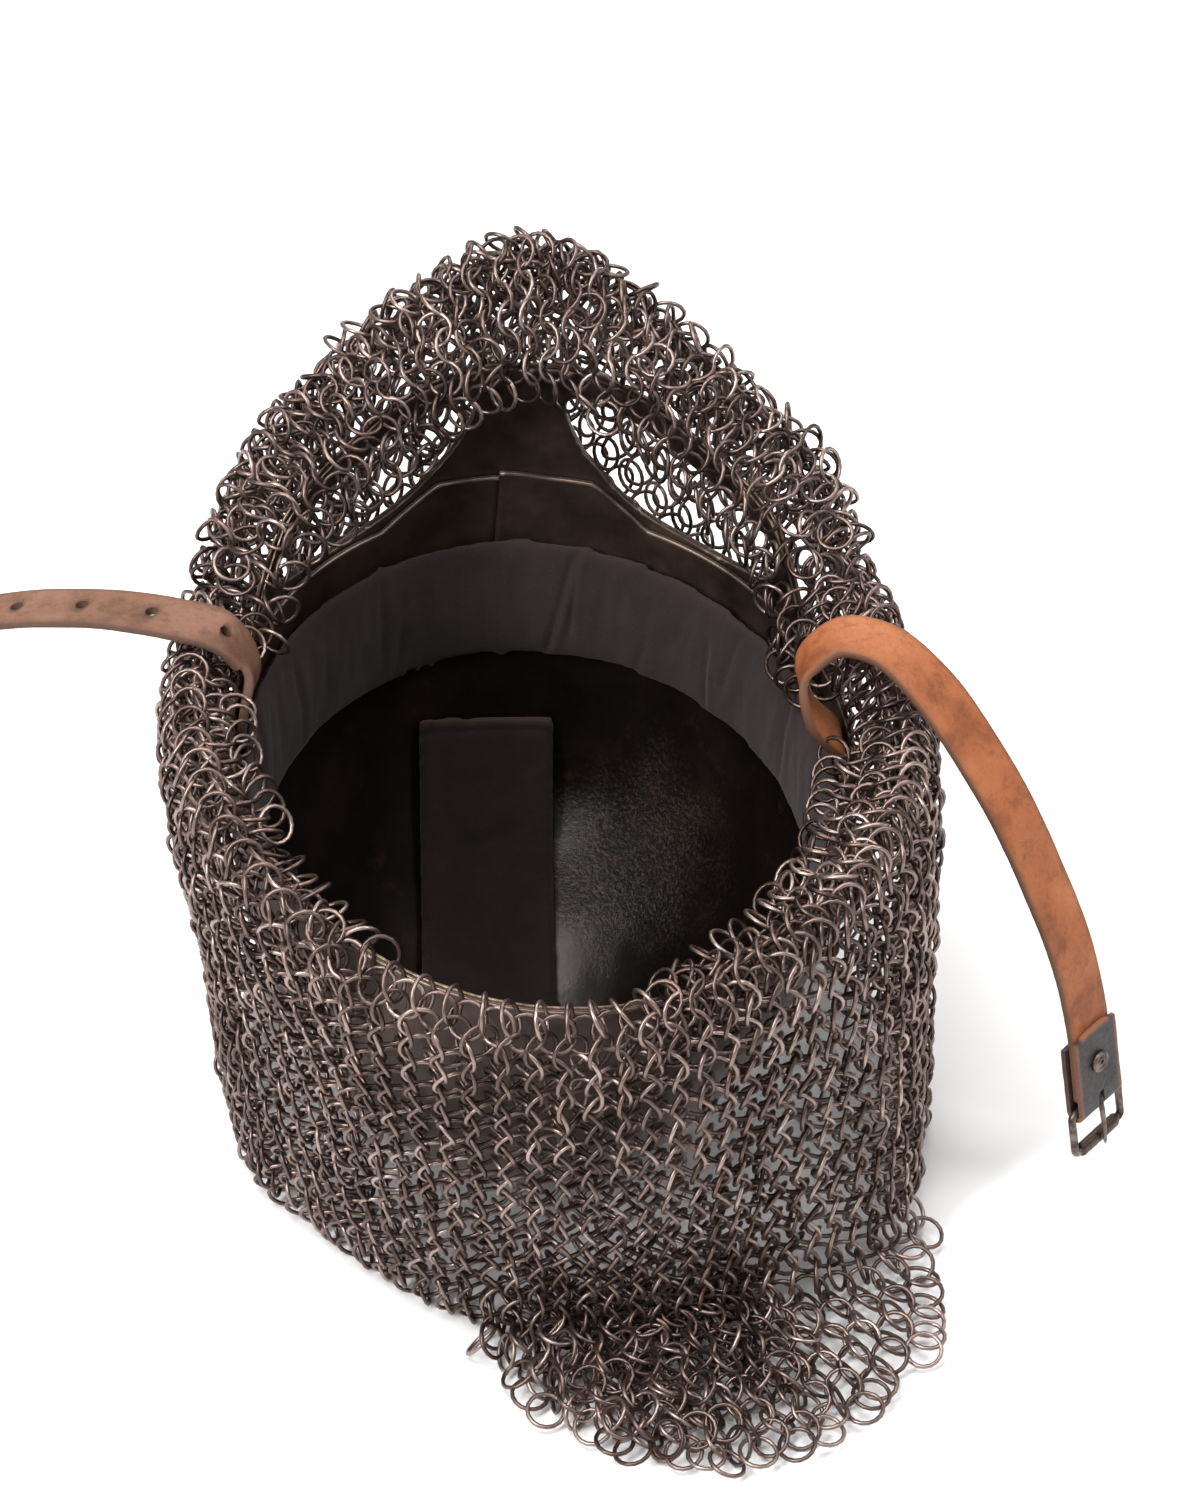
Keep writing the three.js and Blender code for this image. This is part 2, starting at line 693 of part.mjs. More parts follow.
function holedStrap() {
  const cutters = Array.from({ length: STRAP_HOLES.count }, (_, k) => {
    const part = STRAP_HOLES.first + k * STRAP_HOLES.step;
    return pin(STRAP_LEFT, part, STRAP_HOLES.radius, -STRAP.thickness, STRAP.thickness);
  });
  return cut(strapBar(STRAP_LEFT), cutters);
}

// The buckle: a dark tab folded over the strap's end holds the frame's near bar and the prong

// A point by run, width and face distances from the right strap's end
function fromEnd(run, width, height) {
  const { centre, along, across, face } = strapFrame(STRAP_RIGHT, 1);
  return centre.clone()
    .addScaledVector(along, run)
    .addScaledVector(across, width)
    .addScaledVector(face, height);
}

// The tab runs over the strap's face, round the near bar and back under the strap. A slot in
// its fold lets the prong through.
function tab() {
  const near = STRAP.thickness / 2 + GAP;
  const profile = (offset) => {
    const points = [[-TAB.front, offset], [-TAB.front / 2, offset], [0, offset]];
    for (let k = 0; k <= TAB.bendSteps; k += 1) {
      const turn = rad(90 - (180 * k) / TAB.bendSteps);
      points.push([TAB.bend + offset * Math.cos(turn), offset * Math.sin(turn)]);
    }
    points.push([0, -offset], [-TAB.back, -offset]);
    return points;
  };
  const side = (offset) => [-TAB.width / 2, TAB.width / 2]
    .map((width) => profile(offset).map(([run, height]) => fromEnd(run, width, height)));
  const past = TAB.bend + near + 2 * TAB.thickness;
  const corners = [[GAP, -TAB.slot], [past, -TAB.slot], [past, TAB.slot], [GAP, TAB.slot]];
  const slot = bar([-past, past].map((height) => {
    return corners.map(([run, width]) => fromEnd(run, width, height));
  }));
  return cut(sheet(side(near + TAB.thickness), side(near)), [slot]);
}

// A rectangular frame of round wire, with its near bar inside the tab's fold
function buckleFrame() {
  const half = BUCKLE.width / 2 - BUCKLE.corner;
  const nearRun = TAB.bend + BUCKLE.corner;
  const farRun = TAB.bend + BUCKLE.depth - BUCKLE.corner;
  const corners = [
    { run: nearRun, width: half, first: 180 },
    { run: farRun, width: half, first: 90 },
    { run: farRun, width: -half, first: 0 },
    { run: nearRun, width: -half, first: -90 },
  ];
  const { along, across, face } = strapFrame(STRAP_RIGHT, 1);
  const bends = 3;
  const rings = corners.flatMap(({ run, width, first }) => {
    return Array.from({ length: bends + 1 }, (_, k) => {
      const turn = rad(first - (90 * k) / bends);
      const out = along.clone().multiplyScalar(Math.cos(turn)).addScaledVector(across, Math.sin(turn));
      const centre = fromEnd(run, width, 0).addScaledVector(out, BUCKLE.corner);
      return circle(centre, out, face, BUCKLE.wire, BUCKLE.sides);
    });
  });
  return bar(rings, true);
}

// The prong hooks round the near bar and lies across the far one
function prong() {
  const reach = BUCKLE.wire + GAP + PRONG.radius;
  const { along, across, face } = strapFrame(STRAP_RIGHT, 1);
  const rings = Array.from({ length: PRONG.steps + 1 }, (_, k) => {
    const turn = rad(270 - (180 * k) / PRONG.steps);
    const out = along.clone().multiplyScalar(Math.cos(turn)).addScaledVector(face, Math.sin(turn));
    const centre = fromEnd(TAB.bend, 0, 0).addScaledVector(out, reach);
    return circle(centre, out, across, PRONG.radius, BUCKLE.sides);
  });
  const tip = fromEnd(TAB.bend + BUCKLE.depth + PRONG.past, 0, reach);
  rings.push(circle(tip, face, across, PRONG.radius, BUCKLE.sides));
  return bar(rings);
}

function tabRivet() {
  const base = STRAP.thickness / 2 + 2 * GAP + TAB.thickness;
  const part = 1 - RIVET.fromEnd / strapCurve(STRAP_RIGHT).getLength();
  return pin(STRAP_RIGHT, part, RIVET.radius, base, base + RIVET.height, 16);
}

// The part

const helmet = new THREE.Group();
helmet.applyMatrix4(STANDING);
helmet.add(mesh('dome_shell', domeShell(), COLOUR.steel));
helmet.add(mesh('brow_band', browBand(), COLOUR.band));
helmet.add(mesh('visor', visor(), COLOUR.band));
helmet.add(mesh('headband_pad', headPad(), COLOUR.pad));
helmet.add(mesh('crown_pad', crownPad(), COLOUR.crownPad));
helmet.add(mesh('rim_wire', rimWire(), COLOUR.wire));

const mail = new THREE.Group();
mail.add(mesh('mail_front', curtain(-60, 60), COLOUR.mail));
mail.add(mesh('mail_right', curtain(60, 120), COLOUR.mail));
mail.add(mesh('mail_back', curtain(120, 240), COLOUR.mail));
mail.add(mesh('mail_left', curtain(240, 300), COLOUR.mail));
mail.add(mesh('mail_fan', fan(), COLOUR.mail));

const straps = new THREE.Group();
straps.add(mesh('strap_right', strapBar(STRAP_RIGHT), COLOUR.leather));
straps.add(mesh('strap_left', holedStrap(), COLOUR.paleLeather));
straps.add(mesh('strap_tab', tab(), COLOUR.tab));
straps.add(mesh('tab_rivet', tabRivet(), COLOUR.buckle));
straps.add(mesh('buckle_frame', buckleFrame(), COLOUR.buckle));
straps.add(mesh('buckle_prong', prong(), COLOUR.buckle));

const part = new THREE.Group();
part.add(helmet, mail, straps);
part.position.set(-ORIGIN.x, -ORIGIN.y, 0);
part.updateMatrixWorld(true);

export default part;
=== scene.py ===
import math

import bmesh
import bpy
import numpy as np
from mathutils import Matrix, Vector, noise


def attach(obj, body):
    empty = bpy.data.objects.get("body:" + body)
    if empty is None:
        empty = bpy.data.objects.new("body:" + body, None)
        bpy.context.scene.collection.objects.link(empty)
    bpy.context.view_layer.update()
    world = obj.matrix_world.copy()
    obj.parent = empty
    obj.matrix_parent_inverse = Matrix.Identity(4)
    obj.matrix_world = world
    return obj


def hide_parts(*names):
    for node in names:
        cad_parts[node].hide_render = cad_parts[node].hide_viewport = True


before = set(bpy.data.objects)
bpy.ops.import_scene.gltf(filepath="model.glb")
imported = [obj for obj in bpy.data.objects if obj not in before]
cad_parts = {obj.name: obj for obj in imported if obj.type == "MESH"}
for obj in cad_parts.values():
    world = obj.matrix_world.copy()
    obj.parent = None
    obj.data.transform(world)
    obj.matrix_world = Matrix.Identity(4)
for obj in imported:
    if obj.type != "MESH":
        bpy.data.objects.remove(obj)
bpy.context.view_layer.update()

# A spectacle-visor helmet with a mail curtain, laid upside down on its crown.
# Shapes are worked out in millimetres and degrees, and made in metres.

MM = 0.001
SEED = 7

# The steel helmet, in its own frame: crown at zero, rim up, face to +Y
HALF_WIDTH = 102.0
HALF_LENGTH = 118.0
HEIGHT = 168.0
ROUNDNESS = 2.2
PLATE = 2.0
GAP = 0.3
DOME_TOP = 150.0
BAND_BOTTOM = 118.0
BAND_PEAK = 14.5
BAND_FLAT_TO = 15.5
BAND_SLOPE_TO = 27.0
BAND_JOINT = -3.0
BAND_STEP = 2.0
VISOR_PLATE = 2.5
VISOR_BOTTOM = 152.0
VISOR_END = 63.0
CROWN_CLEARANCE = 0.4
TILT = (6.0, 4.8, 5.2)

# The middle of the rim, on the table's axes
RIM_CENTRE = np.array([26.06, 11.96])

# Lower edge of the visor plate, and the outline of an eye opening: angle from the face, height
VISOR_EDGE = [
    (0, 229), (8, 229), (14, 227), (25, 221), (35, 212), (47, 204), (53, 198), (58, 186), (63, 171),
]
EYE = [
    (17.8, 183.5), (24, 175), (30, 171), (39, 169.5), (47, 171), (53.5, 175), (54.3, 184), (52.5, 191),
    (46, 196), (35, 202), (25, 210), (14, 217), (9.5, 217), (8.8, 211), (13.1, 193.5),
]

# The mail curtain: direction, how far its collar stands out and rises, radii half way and at the foot
CURTAIN = [
    (0, 21, 36, 150, 148), (18, 22, 20, 148, 146), (32, 23, 13, 143, 141), (46, 22, 12, 138, 136),
    (62, 18, 20, 134, 131), (80, 15, 18, 130, 131), (100, 14, 18, 131, 133), (120, 12, 19, 131, 132),
    (140, 9, 14, 130, 125), (160, 6, 8, 128, 118), (180, 4, 4, 122, 111), (200, 4, 4, 114, 102),
    (220, 6, 8, 109, 97), (240, 9, 12, 109, 99), (260, 12, 14, 114, 108), (280, 13, 13, 120, 116),
    (300, 15, 10, 127, 123), (314, 19, 10, 132, 129), (329, 23, 15, 140, 137), (343, 22, 23, 147, 144),
]
OUT, RISE, BELLY, FOOT = 1, 2, 3, 4
COLLAR_OUT = 0.45
COLLAR_RISE = 0.62
BELLY_HEIGHT = 0.45
ROLL = 7.0

# Upright folds of the hanging mail: direction, width, depth
FOLDS = [
    (24, 7, 4), (50, 6, -5), (74, 6, 4), (101, 6, -6), (122, 8, 4), (146, 7, -4),
    (246, 8, 3), (268, 7, -4), (296, 7, 3), (322, 7, -4), (350, 6, 3),
]
FOOT_FOLD = 0.6

# The hem of the fan on the table: direction, radius
HEM = [
    (113, 136), (118, 148), (124, 166), (134, 181), (148, 190), (160, 188), (170, 176), (179, 158),
    (187, 138), (193, 120),
]
FAN_START = 115.0
FAN_END = 192.5
FAN_LAY = 5.2
FAN_LOW = 9.0

# The rings, and how wide the net is drawn: direction, distance between the rings of a row
RING_RADIUS = 6.05
RING_WIRE = 0.77
RING_STEPS = 16
RING_SIDES = 5
COLUMNS = 90
LEAST_ROW = 5.0
SPREAD = [
    (0, 9.2), (40, 9.4), (80, 9.0), (115, 8.8), (140, 8.2), (165, 8.3), (182, 8.7), (196, 9.3),
    (210, 9.8), (225, 9.6), (240, 9.2), (262, 9.0), (300, 9.0), (335, 9.4),
]

# How far apart linked rings lie, by direction
LINK_REACH = [(0, 9.2), (115, 8.8), (150, 7.3), (215, 7.6), (240, 8.4), (300, 9.2)]

# The first ring's distance from the edge, how far it hooks outwards, and the wire's height on the edge
FIRST_RING = 4.4
HOOK_OUT = 2.6
WIRE_LIFT = 1.15

# How much lower the collar lies at the back, and where that starts, is full, lessens and ends
LOWERED_BACK = 0.85
BARE_RIM = (160, 174, 204, 218)

# The room of a ring in flat net, the most rows, the spread of the rings' brightness, how close they come
# to the table, and how far under it they are left out
MOST_ROWS = 80
TONES = (1.6, 2.0)
TABLE_CLEARANCE = 0.15
TOO_LOW = -6.0

# How far the rings lean, in degrees: the first two rows, the hem, the fan, and the rest by their pitch
FIRST_LEANS = (68.0, 8.0)
HEM_LEAN = 9.0
FAN_LEAN = 43.0
LEAN_BY_PITCH = ([8.0, 10.0, 12.0, 14.5], [42.0, 39.0, 35.0, 31.0])

# How far the rows slant, all round and more at the back, and how unevenly the rings lie: all round, more
# at the face's collar, more where the foot has slumped, and in the bunched mail
SLANT, BACK_SLANT = 8.0, 11.0
LOOSE, COLLAR_LOOSE, FOOT_LOOSE, BUNCH_LOOSE = 6.0, 9.0, 8.0, 13.0

# The mail bunched inwards over the edge: direction, how far it leans in, and hangs below the edge
OVERHANG = [
    (-156, -1, -3), (-144, 1, -5), (-132, 5, -6), (-115, 6, -6), (-95, 5, -6), (-78, 5, -6), (-64, 8, 6),
    (-45, 10, 19), (-25, 10, 22), (0, 8, 12), (25, 10, 22), (45, 10, 20), (64, 9, 10), (78, 5, -6),
    (95, 11, -6), (112, 13, -5), (125, 11, -6), (148, 9, -6), (160, 4, -4), (169, 0, -2),
]
BUNCHES = [(-155, -90), (-77, 77), (94, 168)]
BUNCH_PITCH = 7.6
BUNCH_RADIUS = 118.0

# Where the mail lies double: from and to which direction, how far down, how deep behind the first layer
DOUBLED = [(-150, -100, 50, 4.2), (-100, -8, 105, 4.2), (-8, 100, 66, 4.2), (100, 168, 30, 3.6)]
DOUBLE_TURN, DOUBLE_DROP = 1.2, 3.0

# The slumped second layer of the mail's foot, over the fan
SLUMP_START = 143.0
SLUMP_END = 191.5
SLUMP_HEIGHTS = [9.5, 14.0]
SLUMP_ROWS, SLUMP_RADIUS, SLUMP_ROW = 11, 100.0, 6.6
SLUMP_PITCH = 9.6
SLUMP_LEAN, SLUMP_LOOSE = 36.0, 14.0

# Which solids each group of rings stands for
MAIL_NODES = {
    "front_left": ["mail_front"], "front_right": ["mail_front"], "face": ["mail_front"],
    "right": ["mail_right"], "right_inner": ["mail_right", "mail_back"], "back": ["mail_back"],
    "left": ["mail_left"], "left_inner": ["mail_left", "mail_back"], "fan": ["mail_fan"],
}

# Where the inside of the bowl is pitted, and where it is pressed outwards: middle, reach, depth
PITTED_SPOT = (50.0, 64.0, 50.0)
PITTED_REACH = 52.0
DENT_SPOT = (27.0, 88.0, 60.0)
DENT_REACH = 34.0
DENT_DEPTH = 5.0

# The band round the head, and the pad across the crown
BAND_PAD = {"bottom": 109.0, "lean": 5.0, "lean_angle": 20.0, "top": 158.0, "edge": 2.2, "middle": 2.3}
CROWN_PAD = {"width": 53.0, "offset": -5.0, "front": 28.0, "back": 147.0, "lift": 0.6, "thickness": 4.0}
PAD_VOXEL = 0.0024
PAD_PRESSURE = 4.0
PAD_FRAMES = 20

# Creases of the band's cloth: angle from the face, slant, start and end up its height, width, depth
CREASES = [
    (11.4, 3.2, 0.00, 1.00, 1.1, 1.5), (14.2, 1.0, 0.25, 1.00, 0.9, 1.1), (46.5, -2.0, 0.05, 0.62, 1.2, 1.3),
    (51.5, 4.0, 0.30, 0.95, 1.6, 0.6), (-29.5, 2.6, 0.28, 0.95, 1.4, 0.7), (-25.0, 1.4, 0.05, 0.4, 1.2, 0.6),
    (-56.0, -2.0, 0.1, 0.8, 1.5, 0.7), (-76.0, 2.5, 0.30, 1.00, 1.3, 0.9), (31.0, 1.5, 0.00, 0.35, 1.5, 0.6),
    (72.0, -2.5, 0.15, 0.90, 1.4, 0.8), (101.0, 2.0, 0.00, 0.6, 1.2, 1.1), (103.5, 1.0, 0.2, 1.00, 1.0, 0.8),
    (127.0, -1.5, 0.3, 1.00, 1.5, 0.7), (156.0, 2.0, 0.1, 0.85, 1.3, 0.9), (181.0, -1.0, 0.0, 0.5, 1.4, 0.8),
    (203.0, 2.4, 0.20, 1.00, 1.2, 1.1), (226.0, -2.2, 0.35, 0.95, 1.6, 0.6), (252.0, 1.6, 0, 0.75, 1.3, 0.9),
    (262.0, 0.8, 0.40, 1.00, 1.1, 0.7),
]

# The straps' paths from the rim's centre, on the table's axes, and their roots at the rim
STRAPS = {
    "strap_right": {
        "hand": -1, "across": (0.69, 0.72, 0.0),
        "root": [(91, 160, -1.9), (91, 168, -3.2)],
        "path": [(87, 3, 179), (86, 9, 191), (97, 14, 199.5), (111, 11, 199), (126, 2, 189.5),
                 (150, -13, 157), (168, -21, 119), (178, -25, 92), (184, -27, 67), (188.5, -29, 37)],
    },
    "strap_left": {
        "hand": 1, "across": (0.3, 0.95, 0.0),
        "root": [(279, 160, -1.9), (279, 169, -2.6)],
        "path": [(-98, 18, 188), (-106, 21, 199), (-122, 25, 202), (-148, 34, 200),
                 (-182, 44, 192), (-212, 53, 178), (-236, 60, 160), (-250, 64, 143)],
    },
}
STRAP_WIDTH = 20.0
STRAP_THICKNESS = 3.0
STRAP_STEPS = 180
HOLE_COUNT, FIRST_HOLE, HOLE_STEP, HOLE_RADIUS = 6, 0.178, 0.122, 2.2

# The tab at the right strap's end, the rivet through it, and the buckle in it
TAB_GAP, TAB_THICKNESS, TAB_BEND = 0.3, 1.6, 4.6
TAB_LENGTH, TAB_UNDER, TAB_HALF = 28.0, 22.4, 11.0
RIVET_FROM_END = 14.0
RIVET = [(3.9, 0.0), (4.0, 0.35), (3.9, 0.9), (3.4, 1.15), (2.8, 1.0), (2.2, 0.75), (1.7, 0.8),
         (1.35, 1.2), (1.0, 1.3), (0.75, 1.0), (0.65, 0.35)]
BUCKLE_WIRE, BUCKLE_HALF, BUCKLE_DEPTH, BUCKLE_CORNER = 1.4, 13.0, 17.0, 2.0
ROLLER_WIDE, ROLLER_HIGH, ROLLER_ROUND = 2.5, 1.85, 0.7
PRONG_REACH = 2.7

# The photograph's view
VIEW_ELEVATION = 38.0
VIEW_DISTANCE = 1300.0
VIEW_FROM = np.array([*RIM_CENTRE, 166.0])
VIEW_AIM = np.array([RIM_CENTRE[0] + 18.2, RIM_CENTRE[1] - 0.6, 165.2])
FOCAL_PIXELS = 3926.0
PICTURE_HEIGHT = 1500.0
SENSOR = 36.0

# The floor in millimetres, and the place that the lights shine on in metres
FLOOR_WIDTH = 8000.0
LIT_SPOT = (0.03, 0.01, 0.1)


# Small maths

def smooth(low, high, value):
    part = min(1.0, max(0.0, (value - low) / (high - low)))
    return part * part * (3 - 2 * part)


def hump(away, width):
    """One in the middle, falling off smoothly to nothing past the width."""
    return math.exp(-((away / width) ** 2))


def signed(angle):
    return (angle + 180.0) % 360.0 - 180.0


def look_up(table, angle, column, cyclic=False):
    """A value from a table by angle, on a smooth curve through its rows."""
    count = len(table)
    above = next((i for i, row in enumerate(table) if row[0] > angle), count if cyclic else count - 1)
    above = max(1, above)

    def row(index):
        if not cyclic:
            found = table[min(max(index, 0), count - 1)]
            return found[0], found[column]
        turns = index // count
        found = table[index - turns * count]
        return found[0] + turns * 360.0, found[column]

    (a0, v0), (a1, v1), (a2, v2), (a3, v3) = (row(above + k) for k in (-2, -1, 0, 1))
    span = a2 - a1
    t = min(1.0, max(0.0, (angle - a1) / span))
    slope_a = (v2 - v0) / (a2 - a0)
    slope_b = (v3 - v1) / (a3 - a1)
    t2, t3 = t * t, t * t * t
    return ((2 * t3 - 3 * t2 + 1) * v1 + (t3 - 2 * t2 + t) * span * slope_a
            + (3 * t2 - 2 * t3) * v2 + (t3 - t2) * span * slope_b)


def curve_through(points, steps):
    """Centripetal Catmull-Rom curve through points, with the same number of steps in each span."""
    p = np.asarray(points, float)
    p = np.vstack([2 * p[0] - p[1], p, 2 * p[-1] - p[-2]])
    out = []
    for i in range(len(p) - 3):
        a, b, c, d = p[i:i + 4]
        d1 = np.linalg.norm(c - b) ** 0.5 or 1.0
        d0 = np.linalg.norm(b - a) ** 0.5 or d1
        d2 = np.linalg.norm(d - c) ** 0.5 or d1
        m1 = ((b - a) / d0 - (c - a) / (d0 + d1) + (c - b) / d1) * d1
        m2 = ((c - b) / d1 - (d - b) / (d1 + d2) + (d - c) / d2) * d1
        last = i == len(p) - 4
        for k in range(steps + (1 if last else 0)):
            t = k / steps
            out.append(b + m1 * t + (-3 * b + 3 * c - 2 * m1 - m2) * t * t
                       + (2 * b - 2 * c + m1 + m2) * t ** 3)
    return np.array(out)


def wobble(x, y, z):
    """Smooth noise between about -1 and 1."""
    return noise.noise(Vector((x, y, z)))


def lengths_along(line):
    steps = np.linalg.norm(np.diff(line, axis=0), axis=1)
    return np.concatenate([[0.0], np.cumsum(steps)])


# Making meshes

def link_mesh(name, points, faces):
    """A new object in the scene, from points in millimetres."""
    mesh = bpy.data.meshes.new(name)
    mesh.from_pydata((np.asarray(points, float) * MM).tolist(), [], [list(f) for f in faces])
    made = bpy.data.objects.new(name, mesh)
    bpy.context.scene.collection.objects.link(made)
    return made


def make(name, points, faces, slot, *nodes):
    """A piece that stands for the named solids, from points in millimetres on the table's axes."""
    piece = link_mesh(name, points, faces)
    piece.data.validate()
    piece.data.update()
    piece.data.materials.append(FINISHES[slot])
    smooth_shaded(piece)
    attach(piece, "root")
    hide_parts(*nodes)
    return piece


def grid_faces(columns, rows, cyclic, offset=0, flip=False):
    faces = []
    for i in range(columns if cyclic else columns - 1):
        near, far = offset + i * rows, offset + ((i + 1) % columns) * rows
        for j in range(rows - 1):
            face = (near + j, far + j, far + j + 1, near + j + 1)
            faces.append(face[::-1] if flip else face)
    return faces


def sheet_faces(columns, rows, cyclic):
    """Faces of a sheet with an outer and an inner grid, closed round its edges."""
    size = columns * rows
    faces = grid_faces(columns, rows, cyclic) + grid_faces(columns, rows, cyclic, size, True)
    for i in range(columns if cyclic else columns - 1):
        near, far = i * rows, ((i + 1) % columns) * rows
        faces.append((near, near + size, far + size, far))
        top = rows - 1
        faces.append((far + top, far + size + top, near + size + top, near + top))
    if not cyclic:
        end = (columns - 1) * rows
        for j in range(rows - 1):
            faces.append((j + 1, j + 1 + size, j + size, j))
            faces.append((end + j, end + j + size, end + j + 1 + size, end + j + 1))
    return faces


def attribute(piece, name, values):
    made = piece.data.attributes.new(name, "FLOAT", "POINT")
    made.data.foreach_set("value", np.asarray(values, np.float32))


def smooth_shaded(piece):
    piece.data.polygons.foreach_set("use_smooth", [True] * len(piece.data.polygons))


def apply_modifiers(piece):
    bpy.context.view_layer.update()
    graph = bpy.context.evaluated_depsgraph_get()
    finished = bpy.data.meshes.new_from_object(piece.evaluated_get(graph))
    piece.modifiers.clear()
    piece.data = finished


def modify(piece, kind, **settings):
    """Sets up one modifier of a piece, and applies it."""
    modifier = piece.modifiers.new(kind, kind)
    for key, value in settings.items():
        setattr(modifier, key, value)
    apply_modifiers(piece)


def bevel(piece, width):
    modify(piece, "BEVEL", width=width * MM, segments=2, limit_method="ANGLE", angle_limit=math.radians(40))


def fix_normals(piece):
    """Turns every face of a closed piece outwards."""
    fix = bmesh.new()
    fix.from_mesh(piece.data)
    bmesh.ops.recalc_face_normals(fix, faces=fix.faces)
    fix.to_mesh(piece.data)
    fix.free()


def bar_faces(rings, sides, cyclic=False):
    """Faces of a bar through rings of points, closed in itself or at both ends."""
    faces = []
    for i in range(rings if cyclic else rings - 1):
        near, far = i * sides, ((i + 1) % rings) * sides
        for k in range(sides):
            after = (k + 1) % sides
            faces.append((near + k, near + after, far + after, far + k))
    if not cyclic:
        faces.append(tuple(range(sides))[::-1])
        faces.append(tuple((rings - 1) * sides + k for k in range(sides)))
    return faces


def cut(piece, near, far):
    """Cuts through a piece between two rings of points in millimetres."""
    tool = link_mesh("cutter", [*near, *far], bar_faces(2, len(near)))
    fix_normals(tool)
    modify(piece, "BOOLEAN", operation="DIFFERENCE", solver="EXACT", object=tool)
    bpy.data.objects.remove(tool)


def vectors(piece, field="co"):
    """The place of each vertex, or another vector of it, as rows of an array."""
    flat = np.empty(3 * len(piece.data.vertices), np.float32)
    piece.data.vertices.foreach_get(field, flat)
    return flat.reshape(-1, 3).astype(float)


def move_to(piece, points):
    piece.data.vertices.foreach_set("co", np.asarray(points, np.float32).ravel())
    piece.data.update()


def around_circle(count):
    """Sine and cosine of evenly spaced turns."""
    turns = [2 * math.pi * k / count for k in range(count)]
    return [(math.sin(turn), math.cos(turn)) for turn in turns]


# The steel helmet's own shape

def bowl(z):
    down = 1 - min(1.0, max(0.0, z / HEIGHT))
    return (1 - down ** ROUNDNESS) ** (1 / ROUNDNESS)


def around(angle, z, offset):
    turn = math.radians(angle)
    wide = bowl(z)
    x = (HALF_WIDTH * wide + offset) * math.sin(turn)
    y = (HALF_LENGTH * wide + offset) * math.cos(turn)
    return Vector((x, y, z))


def rim_height(angle):
    from_face = abs(signed(angle))
    slope = (BAND_SLOPE_TO - from_face) / (BAND_SLOPE_TO - BAND_FLAT_TO)
    return HEIGHT + BAND_PEAK * min(1.0, max(0.0, slope))


def visor_top(angle):
    return look_up(VISOR_EDGE, abs(angle), 1)


def standing_matrix():
    turn = (Matrix.Rotation(math.radians(TILT[0]), 3, "X") @ Matrix.Rotation(math.radians(TILT[1]), 3, "Y")
            @ Matrix.Rotation(math.radians(TILT[2]), 3, "Z"))
    rim = turn @ Vector((0, 0, HEIGHT))
    lowest = min((turn @ around(a, z * 0.25, 0)).z for a in range(0, 360, 2) for z in range(168))
    place = Vector((RIM_CENTRE[0] - rim.x, RIM_CENTRE[1] - rim.y, CROWN_CLEARANCE - lowest))
    return Matrix.Translation(place) @ turn.to_4x4()


STANDING = standing_matrix()
LYING_BACK = STANDING.inverted()


def stand(points):
    return [tuple(STANDING @ Vector(p)) for p in points]


# Materials

